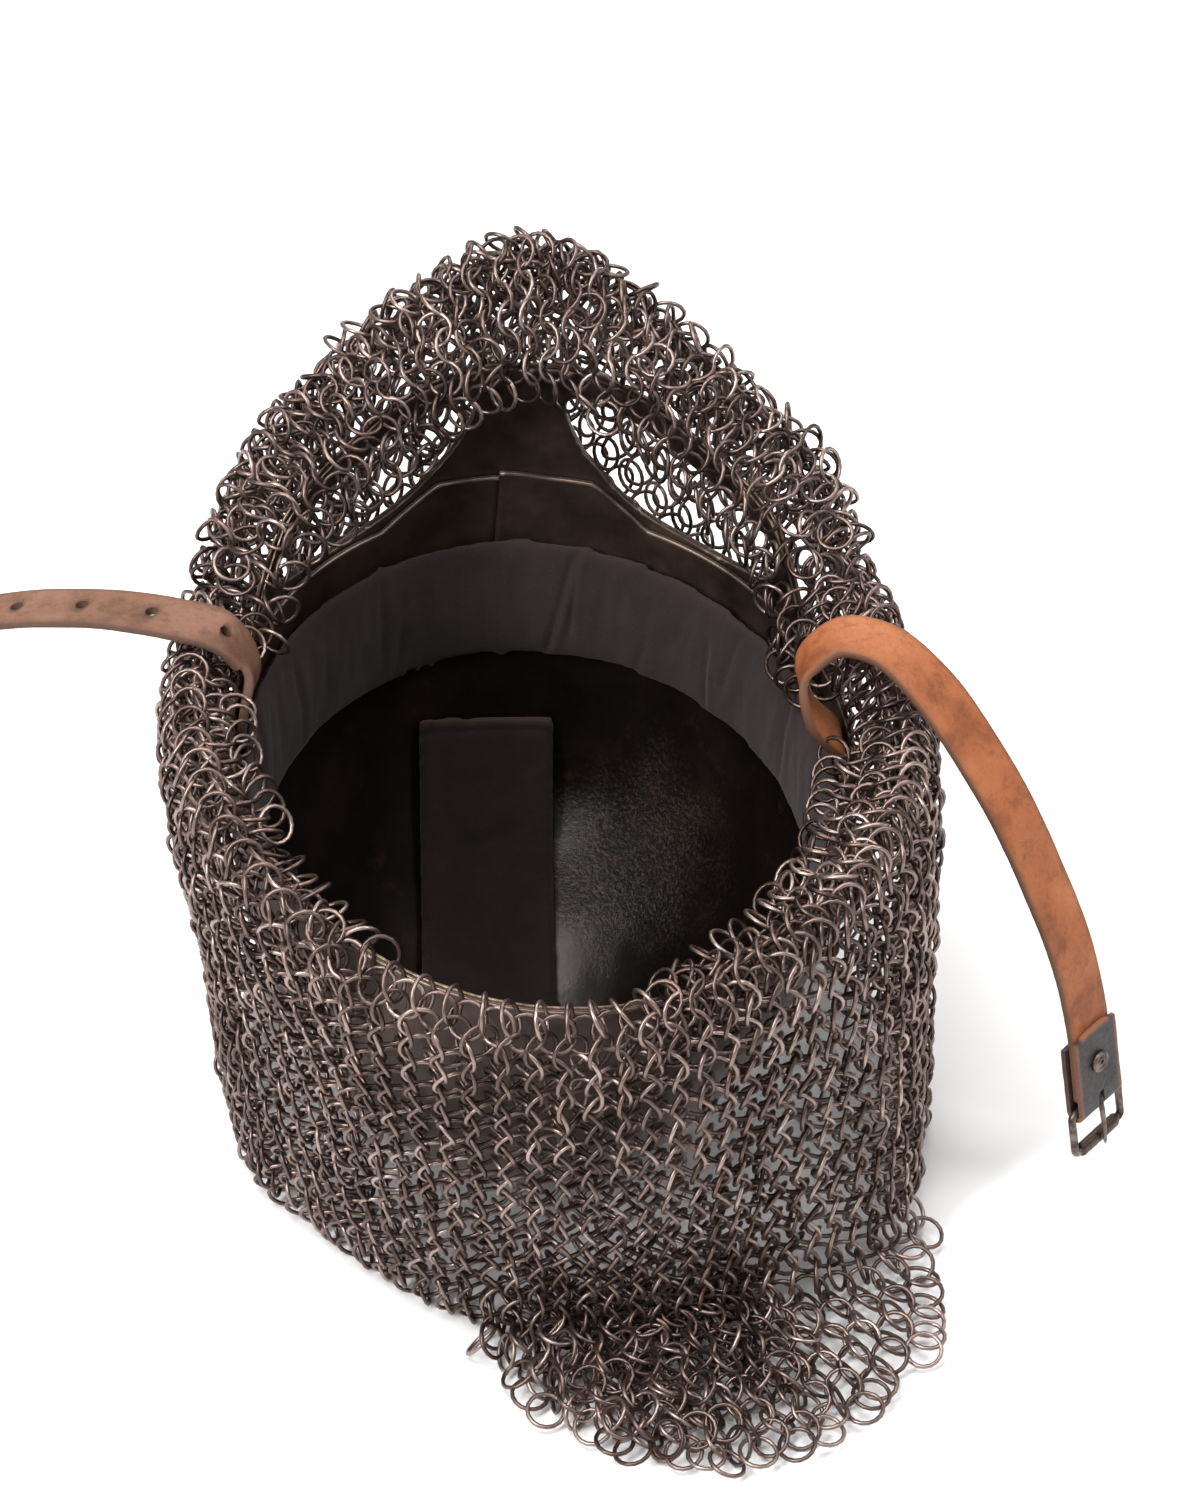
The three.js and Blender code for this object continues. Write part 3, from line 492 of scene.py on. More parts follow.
class Finish:
    """A material made of nodes, with a short call for each kind of node in use here."""

    def __init__(self, name):
        self.material = bpy.data.materials.new(name)
        self.material.use_nodes = True
        self.tree = self.material.node_tree
        self.shader = self.tree.nodes["Principled BSDF"]
        self.coords = self.node("ShaderNodeTexCoord", "Object", {})

    def put(self, value, socket):
        if isinstance(value, bpy.types.NodeSocket):
            self.tree.links.new(value, socket)
        else:
            socket.default_value = (*value, 1) if isinstance(value, tuple) else value

    def set(self, **values):
        """Sets or links the shader's inputs, which are named with _ in place of a space."""
        for name, value in values.items():
            self.put(value, self.shader.inputs[name.replace("_", " ")])

    def node(self, kind, output, inputs, **settings):
        """One output of a new node, whose inputs are numbers, colours or other nodes' outputs."""
        made = self.tree.nodes.new(kind)
        for key, value in settings.items():
            setattr(made, key, value)
        for key, value in inputs.items():
            self.put(value, made.inputs[key])
        return made.outputs[output]

    def noise(self, scale, detail=4.0, rough=0.5):
        inputs = {"Vector": self.coords, "Scale": scale, "Detail": detail, "Roughness": rough}
        return self.node("ShaderNodeTexNoise", "Fac", inputs)

    def painted(self, name):
        """The values that a piece's vertices hold under a name."""
        return self.node("ShaderNodeAttribute", "Fac", {}, attribute_name=name)

    def ramp(self, value, *stops):
        """Colours by a value, from its stops: place, colour."""
        made = self.tree.nodes.new("ShaderNodeValToRGB")
        elements = made.color_ramp.elements
        while len(elements) < len(stops):
            elements.new(0.5)
        for element, (place, colour) in zip(elements, stops):
            element.position = place
            element.color = (*colour, 1)
        self.tree.links.new(value, made.inputs["Fac"])
        return made.outputs["Color"]

    def levels(self, value, low, at_low, high, at_high):
        """One number up to a low value, another from a high one, and a slope between."""
        return self.ramp(value, (low, (at_low,) * 3), (high, (at_high,) * 3))

    def mix(self, factor, a, b):
        return self.node("ShaderNodeMix", 2, {0: factor, 6: a, 7: b}, data_type="RGBA")

    def times(self, a, b):
        return self.node("ShaderNodeMath", 0, {0: a, 1: b}, operation="MULTIPLY")

    def plus(self, a, b):
        return self.node("ShaderNodeMath", 0, {0: a, 1: b}, operation="ADD")

    def bump(self, height, strength, distance):
        inputs = {"Height": height, "Strength": strength, "Distance": distance}
        self.set(Normal=self.node("ShaderNodeBump", "Normal", inputs))

    def worn_and_highlit_edges(self, reach):
        """One along the edges of a plate and nothing on its faces: a mask for bare worn steel and a painted
        highlight of light catching the edges.
        """
        rounded = self.node("ShaderNodeBevel", "Normal", {"Radius": reach * MM}, samples=4)
        true = self.node("ShaderNodeNewGeometry", "True Normal", {})
        alike = self.node("ShaderNodeVectorMath", "Value", {0: rounded, 1: true}, operation="DOT_PRODUCT")
        return self.levels(alike, 0.94, 1.0, 0.99, 0.0)

    def plate(self, broad, *inside):
        """A plate's ground colour, by its own stops inside and as plain brown steel outside."""
        outside = self.ramp(broad, (0.3, (0.075, 0.052, 0.044)), (0.7, (0.18, 0.133, 0.113)))
        return self.mix(self.painted("outside"), self.ramp(broad, *inside), outside)


def mail_steel():
    made = Finish("mail_steel")
    blotch = made.noise(160.0, 5.0, 0.6)
    steel = made.ramp(made.painted("tone"), (0.0, (0.070, 0.047, 0.040)), (0.5, (0.185, 0.132, 0.115)),
                      (1.0, (0.43, 0.335, 0.295)))
    rust = made.levels(blotch, 0.58, 0.0, 0.74, 0.6)
    made.set(Base_Color=made.mix(rust, steel, (0.15, 0.062, 0.03)), Metallic=0.95,
             Roughness=made.levels(blotch, 0.3, 0.30, 0.75, 0.50))
    made.bump(made.noise(900.0, 3.0), 0.25, 0.0002)
    return made.material


def black_steel():
    made = Finish("black_steel")
    broad, streaks, fine = made.noise(26.0, 5.0, 0.6), made.noise(75.0, 6.0, 0.7), made.noise(620.0, 4.0, 0.7)
    ground = made.plate(broad, (0.3, (0.0055, 0.0036, 0.003)), (0.55, (0.012, 0.0078, 0.0062)),
                        (0.8, (0.028, 0.0165, 0.012)))
    rusted = made.mix(made.levels(streaks, 0.60, 0.0, 0.70, 0.55), ground, (0.050, 0.024, 0.014))
    pits = made.times(made.levels(fine, 0.50, 0.0, 0.60, 1.0), made.painted("pitted"))
    made.set(Base_Color=made.mix(made.times(pits, 0.22), rusted, (0.15, 0.12, 0.10)), Metallic=0.55,
             Roughness=made.levels(broad, 0.3, 0.26, 0.7, 0.38))
    scratched = made.times(fine, made.plus(made.painted("pitted"), 0.10))
    made.bump(made.plus(made.times(broad, 0.6), made.times(scratched, 0.75)), 0.5, 0.0014)
    return made.material


def brown_steel():
    made = Finish("brown_steel")
    broad, fine = made.noise(38.0, 6.0, 0.6), made.noise(420.0, 4.0, 0.6)
    ground = made.plate(broad, (0.30, (0.040, 0.026, 0.021)), (0.62, (0.098, 0.064, 0.051)),
                        (0.8, (0.17, 0.105, 0.074)))
    rusted = made.mix(made.levels(fine, 0.62, 0.0, 0.72, 0.6), ground, (0.12, 0.055, 0.028))
    patches = made.levels(made.noise(110.0), 0.35, 0.25, 0.6, 1.0)
    # Light tan on the rubbed edges: partly bare worn steel, partly a painted highlight where light catches
    # the thin edges
    worn = made.times(made.times(made.worn_and_highlit_edges(0.9), patches), made.painted("rubbed_and_highlit"))
    made.set(Base_Color=made.mix(worn, rusted, (0.42, 0.33, 0.26)), Metallic=0.7,
             Roughness=made.levels(broad, 0.3, 0.34, 0.7, 0.52))
    made.bump(made.plus(broad, made.times(fine, 0.3)), 0.3, 0.0008)
    return made.material


def cotton(name, dark, light, hem):
    made = Finish(name)
    broad, threads = made.noise(30.0, 5.0, 0.6), made.noise(1500.0, 2.0)
    turned = made.mix(made.painted("hem"), made.ramp(broad, (0.3, dark), (0.7, light)), hem)
    lint = made.levels(threads, 0.45, 0.0, 0.8, 0.22)
    made.set(Base_Color=made.mix(lint, turned, tuple(2.0 * v for v in light)), Roughness=0.95,
             Specular_IOR_Level=0.2, Sheen_Weight=0.08, Sheen_Roughness=0.5)
    made.bump(made.plus(threads, made.times(broad, 1.5)), 0.35, 0.0004)
    return made.material


def leather(name, dark, middle, light, rim, rough):
    """Leather by its dark, middle and light tones, the tone of its cut edge, and its roughness."""
    made = Finish(name)
    broad, smudge = made.noise(48.0, 6.0, 0.6), made.noise(150.0, 6.0, 0.72)
    grain = made.noise(650.0, 4.0, 0.6)
    cells = made.node("ShaderNodeTexVoronoi", "Distance", {"Vector": made.coords, "Scale": 900.0},
                      feature="DISTANCE_TO_EDGE")
    colour = made.ramp(broad, (0.30, dark), (0.46, middle), (0.70, light))
    smudged = made.mix(made.levels(smudge, 0.50, 0.0, 0.64, 0.42), colour, tuple(0.55 * v for v in dark))
    speckled = made.mix(made.levels(grain, 0.55, 0.0, 0.72, 0.30), smudged, dark)
    edge = made.times(made.painted("edge"), 0.85)
    made.set(Base_Color=made.mix(edge, speckled, rim), Specular_IOR_Level=0.3,
             Roughness=made.levels(grain, 0.3, rough - 0.1, 0.7, rough + 0.1))
    made.bump(made.plus(grain, cells), 0.35, 0.0004)
    return made.material


def brass():
    made = Finish("hanging_wire")
    worn = made.noise(300.0)
    colour = made.ramp(worn, (0.35, (0.08, 0.05, 0.033)), (0.65, (0.27, 0.19, 0.125)))
    made.set(Base_Color=colour, Metallic=0.85, Roughness=0.42)
    made.bump(worn, 0.2, 0.0002)
    return made.material


def buckle_steel():
    made = Finish("buckle_steel")
    worn = made.noise(260.0, 5.0, 0.6)
    steel = made.ramp(worn, (0.35, (0.055, 0.038, 0.030)), (0.6, (0.19, 0.155, 0.135)))
    made.set(Base_Color=made.mix(made.painted("brown"), steel, (0.055, 0.036, 0.026)), Metallic=0.9,
             Roughness=made.levels(worn, 0.3, 0.55, 0.7, 0.32))
    made.bump(worn, 0.3, 0.0003)
    return made.material


FINISHES = {
    "mail_steel": mail_steel(),
    "black_steel": black_steel(),
    "brown_steel": brown_steel(),
    "charcoal_cotton": cotton("charcoal_cotton", (0.0223, 0.0139, 0.0144), (0.033, 0.021, 0.0217),
                              (0.037, 0.024, 0.024)),
    "black_cotton": cotton("black_cotton", (0.0096, 0.0059, 0.0054), (0.0163, 0.0105, 0.0095),
                           (0.046, 0.028, 0.022)),
    "tan_leather": leather("tan_leather", (0.18, 0.050, 0.017), (0.31, 0.097, 0.034),
                           (0.38, 0.135, 0.054), (0.11, 0.055, 0.034), 0.62),
    "pale_leather": leather("pale_leather", (0.10, 0.045, 0.026), (0.17, 0.082, 0.050),
                            (0.22, 0.115, 0.075), (0.08, 0.042, 0.028), 0.72),
    "dark_leather": leather("dark_leather", (0.014, 0.010, 0.010), (0.029, 0.0225, 0.0228),
                            (0.046, 0.037, 0.038), (0.26, 0.105, 0.055), 0.5),
    "hanging_wire": brass(),
    "buckle_steel": buckle_steel(),
}


# The mail's middle surface

def edge_line(angle):
    from_face = abs(signed(angle))
    on_visor = 1 - smooth(VISOR_END - 1, VISOR_END + 4, from_face)
    middle = GAP + PLATE / 2 + on_visor * (GAP + PLATE / 2 + VISOR_PLATE / 2)
    rim = rim_height(angle)
    z = rim + on_visor * max(0.0, visor_top(min(from_face, VISOR_END)) - rim)
    return around(angle, z, middle)


def edge_point(angle, lift):
    """A point of the edge's line, lifted square to it."""
    centre = edge_line(angle)
    along = (edge_line(angle + 0.5) - edge_line(angle - 0.5)).normalized()
    out = Vector((centre.x, centre.y, 0)).normalized()
    return centre - out.cross(along).normalized() * lift


def edge_towards(direction, lift):
    """Radius and height of the edge in a direction from the rim's centre, on the table's axes."""
    angle = direction
    for _ in range(8):
        found = STANDING @ edge_point(angle, lift)
        x, y = found.x - RIM_CENTRE[0], found.y - RIM_CENTRE[1]
        angle += signed(direction - math.degrees(math.atan2(x, y)))
    return math.hypot(x, y), found.z


def fold_depth(direction):
    return sum(depth * hump(signed(direction - at), width) for at, width, depth in FOLDS)


def in_fan(direction):
    return FAN_START < direction % 360.0 < FAN_END


def mail_line(direction):
    """The mail's middle line in one direction, from the edge to the foot or the hem: radius, height."""
    angle = direction % 360.0
    out, rise, belly, foot = (look_up(CURTAIN, angle, column, True) for column in (OUT, RISE, BELLY, FOOT))
    start, full, end, over = BARE_RIM
    rise *= 1 - LOWERED_BACK * smooth(start, full, angle) * (1 - smooth(end, over, angle))
    radius, z = edge_towards(angle, WIRE_LIFT)
    crest = (radius + out, z + rise)
    belly += fold_depth(angle)
    foot += FOOT_FOLD * fold_depth(angle)
    points = [
        (radius, z),
        (radius + COLLAR_OUT * out, z + COLLAR_RISE * rise),
        crest,
        (crest[0] + ROLL, crest[1] - ROLL),
        (belly, BELLY_HEIGHT * crest[1]),
    ]
    if in_fan(angle):
        flare = foot + 16.0
        points += [(foot + 1.0, 22.0), (foot + 5.0, 9.0), (flare, FAN_LAY)]
        hem = look_up(HEM, angle, 1) - 7.0
        if hem > flare + 10.0:
            points.append((0.5 * (flare + hem), FAN_LAY + 0.4))
        if hem > flare + 4.0:
            points.append((hem, FAN_LAY))
    else:
        points.append((foot, 0.0))
    return curve_through(points, 16)


def bunch_line(direction):
    """The middle line of the mail that leans in over the edge: radius, height."""
    angle = direction % 360.0
    out, rise = look_up(CURTAIN, angle, OUT, True), look_up(CURTAIN, angle, RISE, True)
    lean, below = look_up(OVERHANG, signed(angle), 1), look_up(OVERHANG, signed(angle), 2)
    radius, z = edge_towards(angle, WIRE_LIFT)
    points = [(radius + 0.75 * out, z + 0.9 * rise), (radius + 0.2 * out, z + 0.72 * rise)]
    if below > -5.0:
        points += [(radius - 0.62 * lean, z + 0.3 * rise + 2.0), (radius - lean, z + 1.0 - 0.35 * below)]
    else:
        points.append((radius - 0.45 * lean, z + 0.6 * rise + 1.0))
    points.append((radius - 0.9 * lean, z - below))
    return curve_through(points, 16)


def measured(line):
    return line, lengths_along(line)


SURFACE = {a: measured(mail_line(a)) for a in range(360)}
BUNCH = {a % 360: measured(bunch_line(a)) for low, high in BUNCHES for a in range(low, high + 1)}


def compass(direction):
    """The level directions outwards and sideways, at a direction from the rim's centre."""
    turn = math.radians(direction)
    return np.array([math.sin(turn), math.cos(turn), 0.0]), np.array([math.cos(turn), -math.sin(turn), 0.0])


def on_surface(direction, distance, lines=SURFACE):
    """A point of a layer's middle surface, or None past its end."""
    low = int(math.floor(direction)) % 360
    part = direction - math.floor(direction)
    near, far = lines.get(low), lines.get((low + 1) % 360)
    if near is None or far is None or distance > near[1][-1] + part * (far[1][-1] - near[1][-1]):
        return None
    found = [[np.interp(distance, along, line[:, k]) for k in (0, 1)] for line, along in (near, far)]
    radius, z = (found[0][k] + part * (found[1][k] - found[0][k]) for k in (0, 1))
    return np.array([*RIM_CENTRE, z]) + compass(direction)[0] * radius


def column_directions():
    """Directions of the net's half columns, closer together where it is gathered."""
    angles = np.arange(361.0)
    density = [math.radians(1) * look_up(CURTAIN, a % 360, BELLY, True) / look_up(SPREAD, a % 360, 1, True)
               for a in angles]
    index = np.concatenate([[0.0], np.cumsum([(a + b) / 2 for a, b in zip(density, density[1:])])])
    return np.interp(np.arange(2 * COLUMNS) / (2 * COLUMNS) * index[-1], index, angles)


DIRECTIONS = column_directions()


def ring_rows(directions, lines, cyclic):
    """Each ring's direction, distance from the edge, row number, pitch, and whether it is the last."""
    rings = []
    count = len(directions)
    apart = np.radians((np.roll(directions, -1) - np.roll(directions, 1)) % 360.0)
    if not cyclic:
        apart[0], apart[-1] = apart[1], apart[-2]
    distance = np.full(count, FIRST_RING)
    for row in range(MOST_ROWS):
        step = np.zeros(count)
        alive, found = False, []
        for half, direction in enumerate(directions):
            place = on_surface(direction, distance[half], lines)
            if place is None:
                step[half] = 7.0
                continue
            alive = True
            pitch = math.hypot(*(place[:2] - RIM_CENTRE)) * apart[half]
            reach = look_up(LINK_REACH, direction, 1, True)
            step[half] = math.sqrt(max(LEAST_ROW ** 2, reach ** 2 - (pitch / 2) ** 2))
            if half % 2 == row % 2:
                found.append((half, direction, distance[half], pitch))
        if cyclic:
            step = sum(np.roll(step, k) for k in range(-3, 4)) / 7
        distance = distance + step
        for half, direction, reached, pitch in found:
            last = on_surface(direction, distance[half] + 1.5, lines) is None
            rings.append((direction, reached, row, pitch, last))
        if not alive:
            break
    return rings


def tilt_spread(direction, distance, fan):
    """How unevenly the rings lie, in degrees: most at the face's collar and where the foot has slumped."""
    face = 1 - smooth(50, 95, abs(signed(direction)))
    collar = 1 - smooth(60, 110, distance)
    slumped = smooth(140, 155, direction) if fan else 0.0
    return LOOSE + COLLAR_LOOSE * face * collar + FOOT_LOOSE * slumped


def ring_lean(row, pitch, last, main, fan):
    """How far a ring leans out of the mail's surface, in degrees."""
    if main and row < len(FIRST_LEANS):
        return FIRST_LEANS[row]
    if fan:
        return HEM_LEAN if last else FAN_LEAN
    return np.interp(pitch, *LEAN_BY_PITCH)


def leaned(down, side, normal, lean, nod):
    """A ring's two axes, turned out of the surface's by a lean and a nod in degrees."""
    lean, nod = math.radians(lean), math.radians(nod)
    across = side * math.cos(lean) + normal * math.sin(lean)
    return across, down * math.cos(nod) + np.cross(down, across) * math.sin(nod)


def ring_frame(lines, direction, distance, row, pitch, last, random, behind_it=0.0):
    """Centre and two axes of one ring, leaning left or right by its row."""
    centre, ahead, behind = (on_surface(direction, max(0.0, distance + k), lines) for k in (0.0, 1.0, -1.0))
    down = centre - behind if ahead is None else ahead - behind
    outward, side = compass(direction)
    left, right = (on_surface(direction + k, distance, lines) for k in (-1.0, 1.0))
    if left is not None and right is not None:
        side = right - left
    down = down / np.linalg.norm(down)
    side = side - down * side.dot(down)
    side = side / np.linalg.norm(side)
    normal = np.cross(down, side)
    main = lines is SURFACE
    fan = main and in_fan(direction) and centre[2] < FAN_LOW
    loose = tilt_spread(direction, distance, fan) if main else BUNCH_LOOSE
    hand = 1.0 if row % 2 else -1.0
    slant = SLANT + BACK_SLANT * smooth(100, 135, abs(signed(direction)))
    askew = math.radians(hand * slant) if row > 0 else 0.0
    down, side = (down * math.cos(askew) - side * math.sin(askew),
                  side * math.cos(askew) + down * math.sin(askew))
    lean = hand * ring_lean(row, pitch, last, main, fan) + random.normal(0.0, loose)
    axes = leaned(down, side, normal, lean, random.normal(0.0, loose))
    if main and row == 0:
        centre = centre + outward * HOOK_OUT
    centre = centre + normal * behind_it
    return centre + random.normal(0.0, 0.04 * loose, 3), *axes


def ring_points(centre, across, along, random):
    facing = np.cross(across, along)
    turns = 2 * math.pi * np.arange(RING_STEPS) / RING_STEPS
    sides = 2 * math.pi * np.arange(RING_SIDES) / RING_SIDES
    radius = RING_RADIUS * (1 + random.normal(0.0, 0.008))
    oval = 1 + random.normal(0.0, 0.015)
    ring = np.outer(np.cos(turns) * oval, across) + np.outer(np.sin(turns) / oval, along)
    points = (centre + (radius + RING_WIRE * np.cos(sides)[None, :, None]) * ring[:, None, :]
              + RING_WIRE * np.sin(sides)[None, :, None] * facing)
    return points.reshape(-1, 3)


def ring_faces():
    return np.roll(np.array(bar_faces(RING_STEPS, RING_SIDES, True))[:, ::-1], 1, axis=1)


def sector(direction, distance):
    """The group of rings that a ring belongs to."""
    angle = direction % 360.0
    line, along = SURFACE[int(angle)]
    if in_fan(angle) and np.interp(distance, along, line[:, 1]) < FAN_LOW:
        return "fan"
    for name, end in (("front_right", 60), ("right", 120), ("back", 240), ("left", 300), ("front_left", 360)):
        if angle < end:
            return name


def slump(random):
    """Rings of the second layers, over the left of the fan."""
    rings = []
    span = SLUMP_END - SLUMP_START
    up = np.array([0.0, 0.0, 1.0])
    for layer, base in enumerate(SLUMP_HEIGHTS):
        for row in range(SLUMP_ROWS):
            radius = SLUMP_RADIUS + SLUMP_ROW * row
            count = int(math.radians(span) * radius / SLUMP_PITCH)
            for k in range(count):
                direction = SLUMP_START + (k + 0.5 * (row % 2)) * span / count
                start = 1 - smooth(SLUMP_START, SLUMP_START + 20, direction)
                if radius > look_up(HEM, direction, 1) - 12.0 - 20.0 * layer - 30.0 * start:
                    continue
                outward, side = compass(direction)
                height = base + 3.0 * wobble(direction * 0.13, radius * 0.06, 2.0 + layer)
                centre = np.array([*RIM_CENTRE, height]) + outward * radius
                lean = (SLUMP_LEAN if row % 2 else -SLUMP_LEAN) + random.normal(0.0, SLUMP_LOOSE)
                axes = leaned(outward, side, up, lean, random.normal(0.0, SLUMP_LOOSE))
                rings.append((centre + random.normal(0.0, 0.7, 3), *axes))
    return rings


def bunch(random):
    """Rings of the mail that leans in over the edge, by the piece that they belong to."""
    half = math.degrees(BUNCH_PITCH / 2 / BUNCH_RADIUS)
    groups = {}
    for low, high in BUNCHES:
        for ring in ring_rows(np.arange(low + 2.0, high - 2.0, half), BUNCH, False):
            angle = signed(ring[0])
            name = "face" if abs(angle) < 78 else "right_inner" if angle > 0 else "left_inner"
            groups.setdefault(name, []).append(ring_frame(BUNCH, *ring, random))
    return groups


def doubled(ring, random):
    """The ring behind another one, where the mail lies double, in a list that is empty elsewhere."""
    direction, distance, row, pitch, _ = ring
    for low, high, reach, deep in DOUBLED:
        if low < signed(direction) <= high and row > 1 and distance < reach:
            return [ring_frame(SURFACE, direction + DOUBLE_TURN, distance + DOUBLE_DROP, row + 1, pitch,
                               False, random, deep)]
    return []


def mail():
    random = np.random.default_rng(SEED)
    groups = {}
    for ring in ring_rows(DIRECTIONS, SURFACE, True):
        group = groups.setdefault(sector(ring[0], ring[1]), [])
        group.append(ring_frame(SURFACE, *ring, random))
        group += doubled(ring, random)
    groups["fan"] += slump(random)
    groups.update(bunch(random))
    faces = ring_faces()
    size = RING_STEPS * RING_SIDES
    for name, frames in groups.items():
        rings = []
        for centre, across, along in frames:
            points = ring_points(centre, across, along, random)
            low = points[:, 2].min()
            if low < TOO_LOW:
                continue
            if low < TABLE_CLEARANCE:
                points[:, 2] += TABLE_CLEARANCE - low
            rings.append(points)
        everything = np.concatenate([faces + size * i for i in range(len(rings))])
        piece = make("mail_rings_" + name, np.concatenate(rings), everything, "mail_steel", *MAIL_NODES[name])
        attribute(piece, "tone", np.repeat(random.beta(*TONES, len(rings)), size))


mail()


# Plates

def pitted(place):
    """How pitted the bowl is at a place: most on the right of the inside, beside the crown pad."""
    away = (place - Vector(PITTED_SPOT)).length / PITTED_REACH
    return 1 - smooth(0.35, 1.0, away + 0.3 * noise.noise(place * 0.08))


def dome():
    columns, rows = 200, 72
    power = 2 / ROUNDNESS
    last = math.acos((1 - DOME_TOP / HEIGHT) ** (1 / power))
    points = []
    for depth in (0.0, PLATE):
        for i in range(columns):
            turn = 2 * math.pi * i / columns
            for j in range(rows):
                slope = last * j / (rows - 1)
                wide = math.sin(slope) ** power
                z = HEIGHT - (HEIGHT - depth) * math.cos(slope) ** power
                place = Vector(((HALF_WIDTH - depth) * wide * math.sin(turn),
                                (HALF_LENGTH - depth) * wide * math.cos(turn), z))
                dent = 0.35 * noise.noise(place * 0.045) + 0.15 * noise.noise(place * 0.12)
                fade = smooth(0.02, 0.15, j / (rows - 1)) * (1 - smooth(0.9, 1.0, j / (rows - 1)))
                inward = Vector((-place.x, -place.y, HEIGHT - z)).normalized()
                near = 1 - smooth(0.0, 1.0, (place - Vector(DENT_SPOT)).length / DENT_REACH)
                points.append(place + inward * (dent * fade * 0.8 + 0.1 - DENT_DEPTH * near))
    piece = make("bowl_plate", stand(points), sheet_faces(columns, rows, True), "black_steel", "dome_shell")
    attribute(piece, "outside", np.repeat([1.0, 0.0], columns * rows))
    attribute(piece, "pitted", [pitted(p) for p in points])


def band():
    columns, heights = 300, [BAND_BOTTOM, 119, 122, 126, 130, 136, 142, 148, 154, 159, 162, 164]
    rows = len(heights) + 3
    points, outside, rubbed_and_highlit = [], [], []
    for offset, hand in ((GAP + PLATE, 1), (GAP, -1)):
        for i in range(columns):
            part = i / (columns - 1)
            angle = BAND_JOINT + 0.03 + part * (360.0 - 0.06)
            top = rim_height(angle) + BAND_STEP * (1 - smooth(0, 0.03, part))
            turn = math.radians(angle)
            wave = 0.25 * wobble(math.sin(turn) * 3, math.cos(turn) * 3, 0)
            for z in [*heights, top - 1.2, top - 0.35, top]:
                inset = 0.35 if z == top else (0.1 if z == top - 0.35 else 0.0)
                points.append(around(angle, z, offset + wave - hand * inset))
                outside.append(1.0 if hand > 0 else 0.0)
                # The top edge gets the worn edge colour, which is partly a painted highlight
                rubbed_and_highlit.append(1.0 if z > top - 1.0 else 0.0)
    piece = make("brow_plate", stand(points), sheet_faces(columns, rows, False), "brown_steel", "brow_band")
    attribute(piece, "outside", outside)
    attribute(piece, "rubbed_and_highlit", rubbed_and_highlit)


def visor_plate():
    inside = 2 * GAP + PLATE
    angles = np.linspace(-VISOR_END, VISOR_END, 127)
    parts = np.linspace(0, 1, 22)
    points = []
    for offset in (inside + VISOR_PLATE, inside):
        for angle in angles:
            height = visor_top(angle) - VISOR_BOTTOM
            points += [around(angle, VISOR_BOTTOM + t * height, offset) for t in parts]
    faces = sheet_faces(len(angles), len(parts), False)
    piece = make("visor_plate", stand(points), faces, "brown_steel", "visor")
    for hand in (1, -1):
        outline = np.array([(hand * a, z) for a, z in EYE])
        ring = curve_through(np.vstack([outline[-2:], outline, outline[:2]]), 6)[12:-12][::hand]
        near, far = (stand([around(a, z, offset) for a, z in ring]) for offset in (-9.0, 14.0))
        cut(piece, near, far)
    bevel(piece, 0.5)
    smooth_shaded(piece)
    # All the visor's edges get the worn edge colour, which is partly a painted highlight
    attribute(piece, "rubbed_and_highlit", np.ones(len(piece.data.vertices)))


dome()
band()
visor_plate()


# Straps

def strap_frames(strap):
    """Place, run, width and face directions along a strap, with the part of its length, and the length."""
    root = [STANDING @ around(a, z, o) for a, z, o in strap["root"]]
    path = [Vector((x + RIM_CENTRE[0], y + RIM_CENTRE[1], z)) for x, y, z in strap["path"]]
    line = curve_through([tuple(p) for p in root + path], 24)
    along = lengths_along(line)
    total = along[-1]
    angle, z, _ = strap["root"][0]
    rim = around(angle + 1, z, 0) - around(angle - 1, z, 0)
    first = (STANDING.to_3x3() @ rim).normalized() * strap["hand"]
    frames = []
    for i in range(STRAP_STEPS):
        part = i / (STRAP_STEPS - 1)
        place, ahead, behind = ([np.interp(part * total + step, along, line[:, k]) for k in range(3)]
                                for step in (0.0, 0.4, -0.4))
        run = Vector(np.subtract(ahead, behind)).normalized()
        across = first.lerp(Vector(strap["across"]), smooth(0.08, 0.4, part))
        across = (across - run * across.dot(run)).normalized()
        frames.append((Vector(place), run, across, run.cross(across).normalized(), part))
    return frames, total


def strap(name, slot):
    frames, total = strap_frames(STRAPS[name])
    w, h = STRAP_WIDTH / 2, STRAP_THICKNESS / 2
    corner = [(-w + 0.15, h * 0.7), (-w + 0.7, h), (-w + 2.5, h), (-w / 2, h)]
    top = [*corner, (0, h), *[(-u, v) for u, v in corner[::-1]]]
    section = [(-w, 0), *top, (w, 0), *[(-u, -v) for u, v in top]]
    points, edges = [], []
    for place, _, across, face, part in frames:
        for u, v in section:
            ripple = 0.25 * wobble(part * 14, u * 0.08, 1.0 if name == "strap_left" else 5.0)
            trim = 0.2 * wobble(part * 40, 9.0, 3.0 if u > 0 else 8.0)
            aside = u + math.copysign(trim, u) * (abs(u) > w - 1)
            points.append(place + across * aside + face * (v + ripple))
            edges.append(1.0 if abs(u) > w - 0.3 else (0.45 if abs(u) > w - 1 else 0.0))
    piece = make(name + "_leather", points, bar_faces(STRAP_STEPS, len(section)), slot, name)
    attribute(piece, "edge", edges)
    return piece, frames, total


def strap_hole(piece, frames, part):
    """Cuts a round hole through a strap, with a darkened rim."""
    place, run, across, face, _ = frames[round(part * (len(frames) - 1))]
    ring = [place + (run * cosine + across * sine) * HOLE_RADIUS for sine, cosine in around_circle(20)]
    cut(piece, [p - face * 4 for p in ring], [p + face * 4 for p in ring])
    layer = piece.data.attributes["edge"].data
    for vertex in piece.data.vertices:
        away = vertex.co / MM - place
        if (away - face * away.dot(face)).length < HOLE_RADIUS + 0.2 and abs(away.dot(face)) < 3:
            layer[vertex.index].value = 1.0


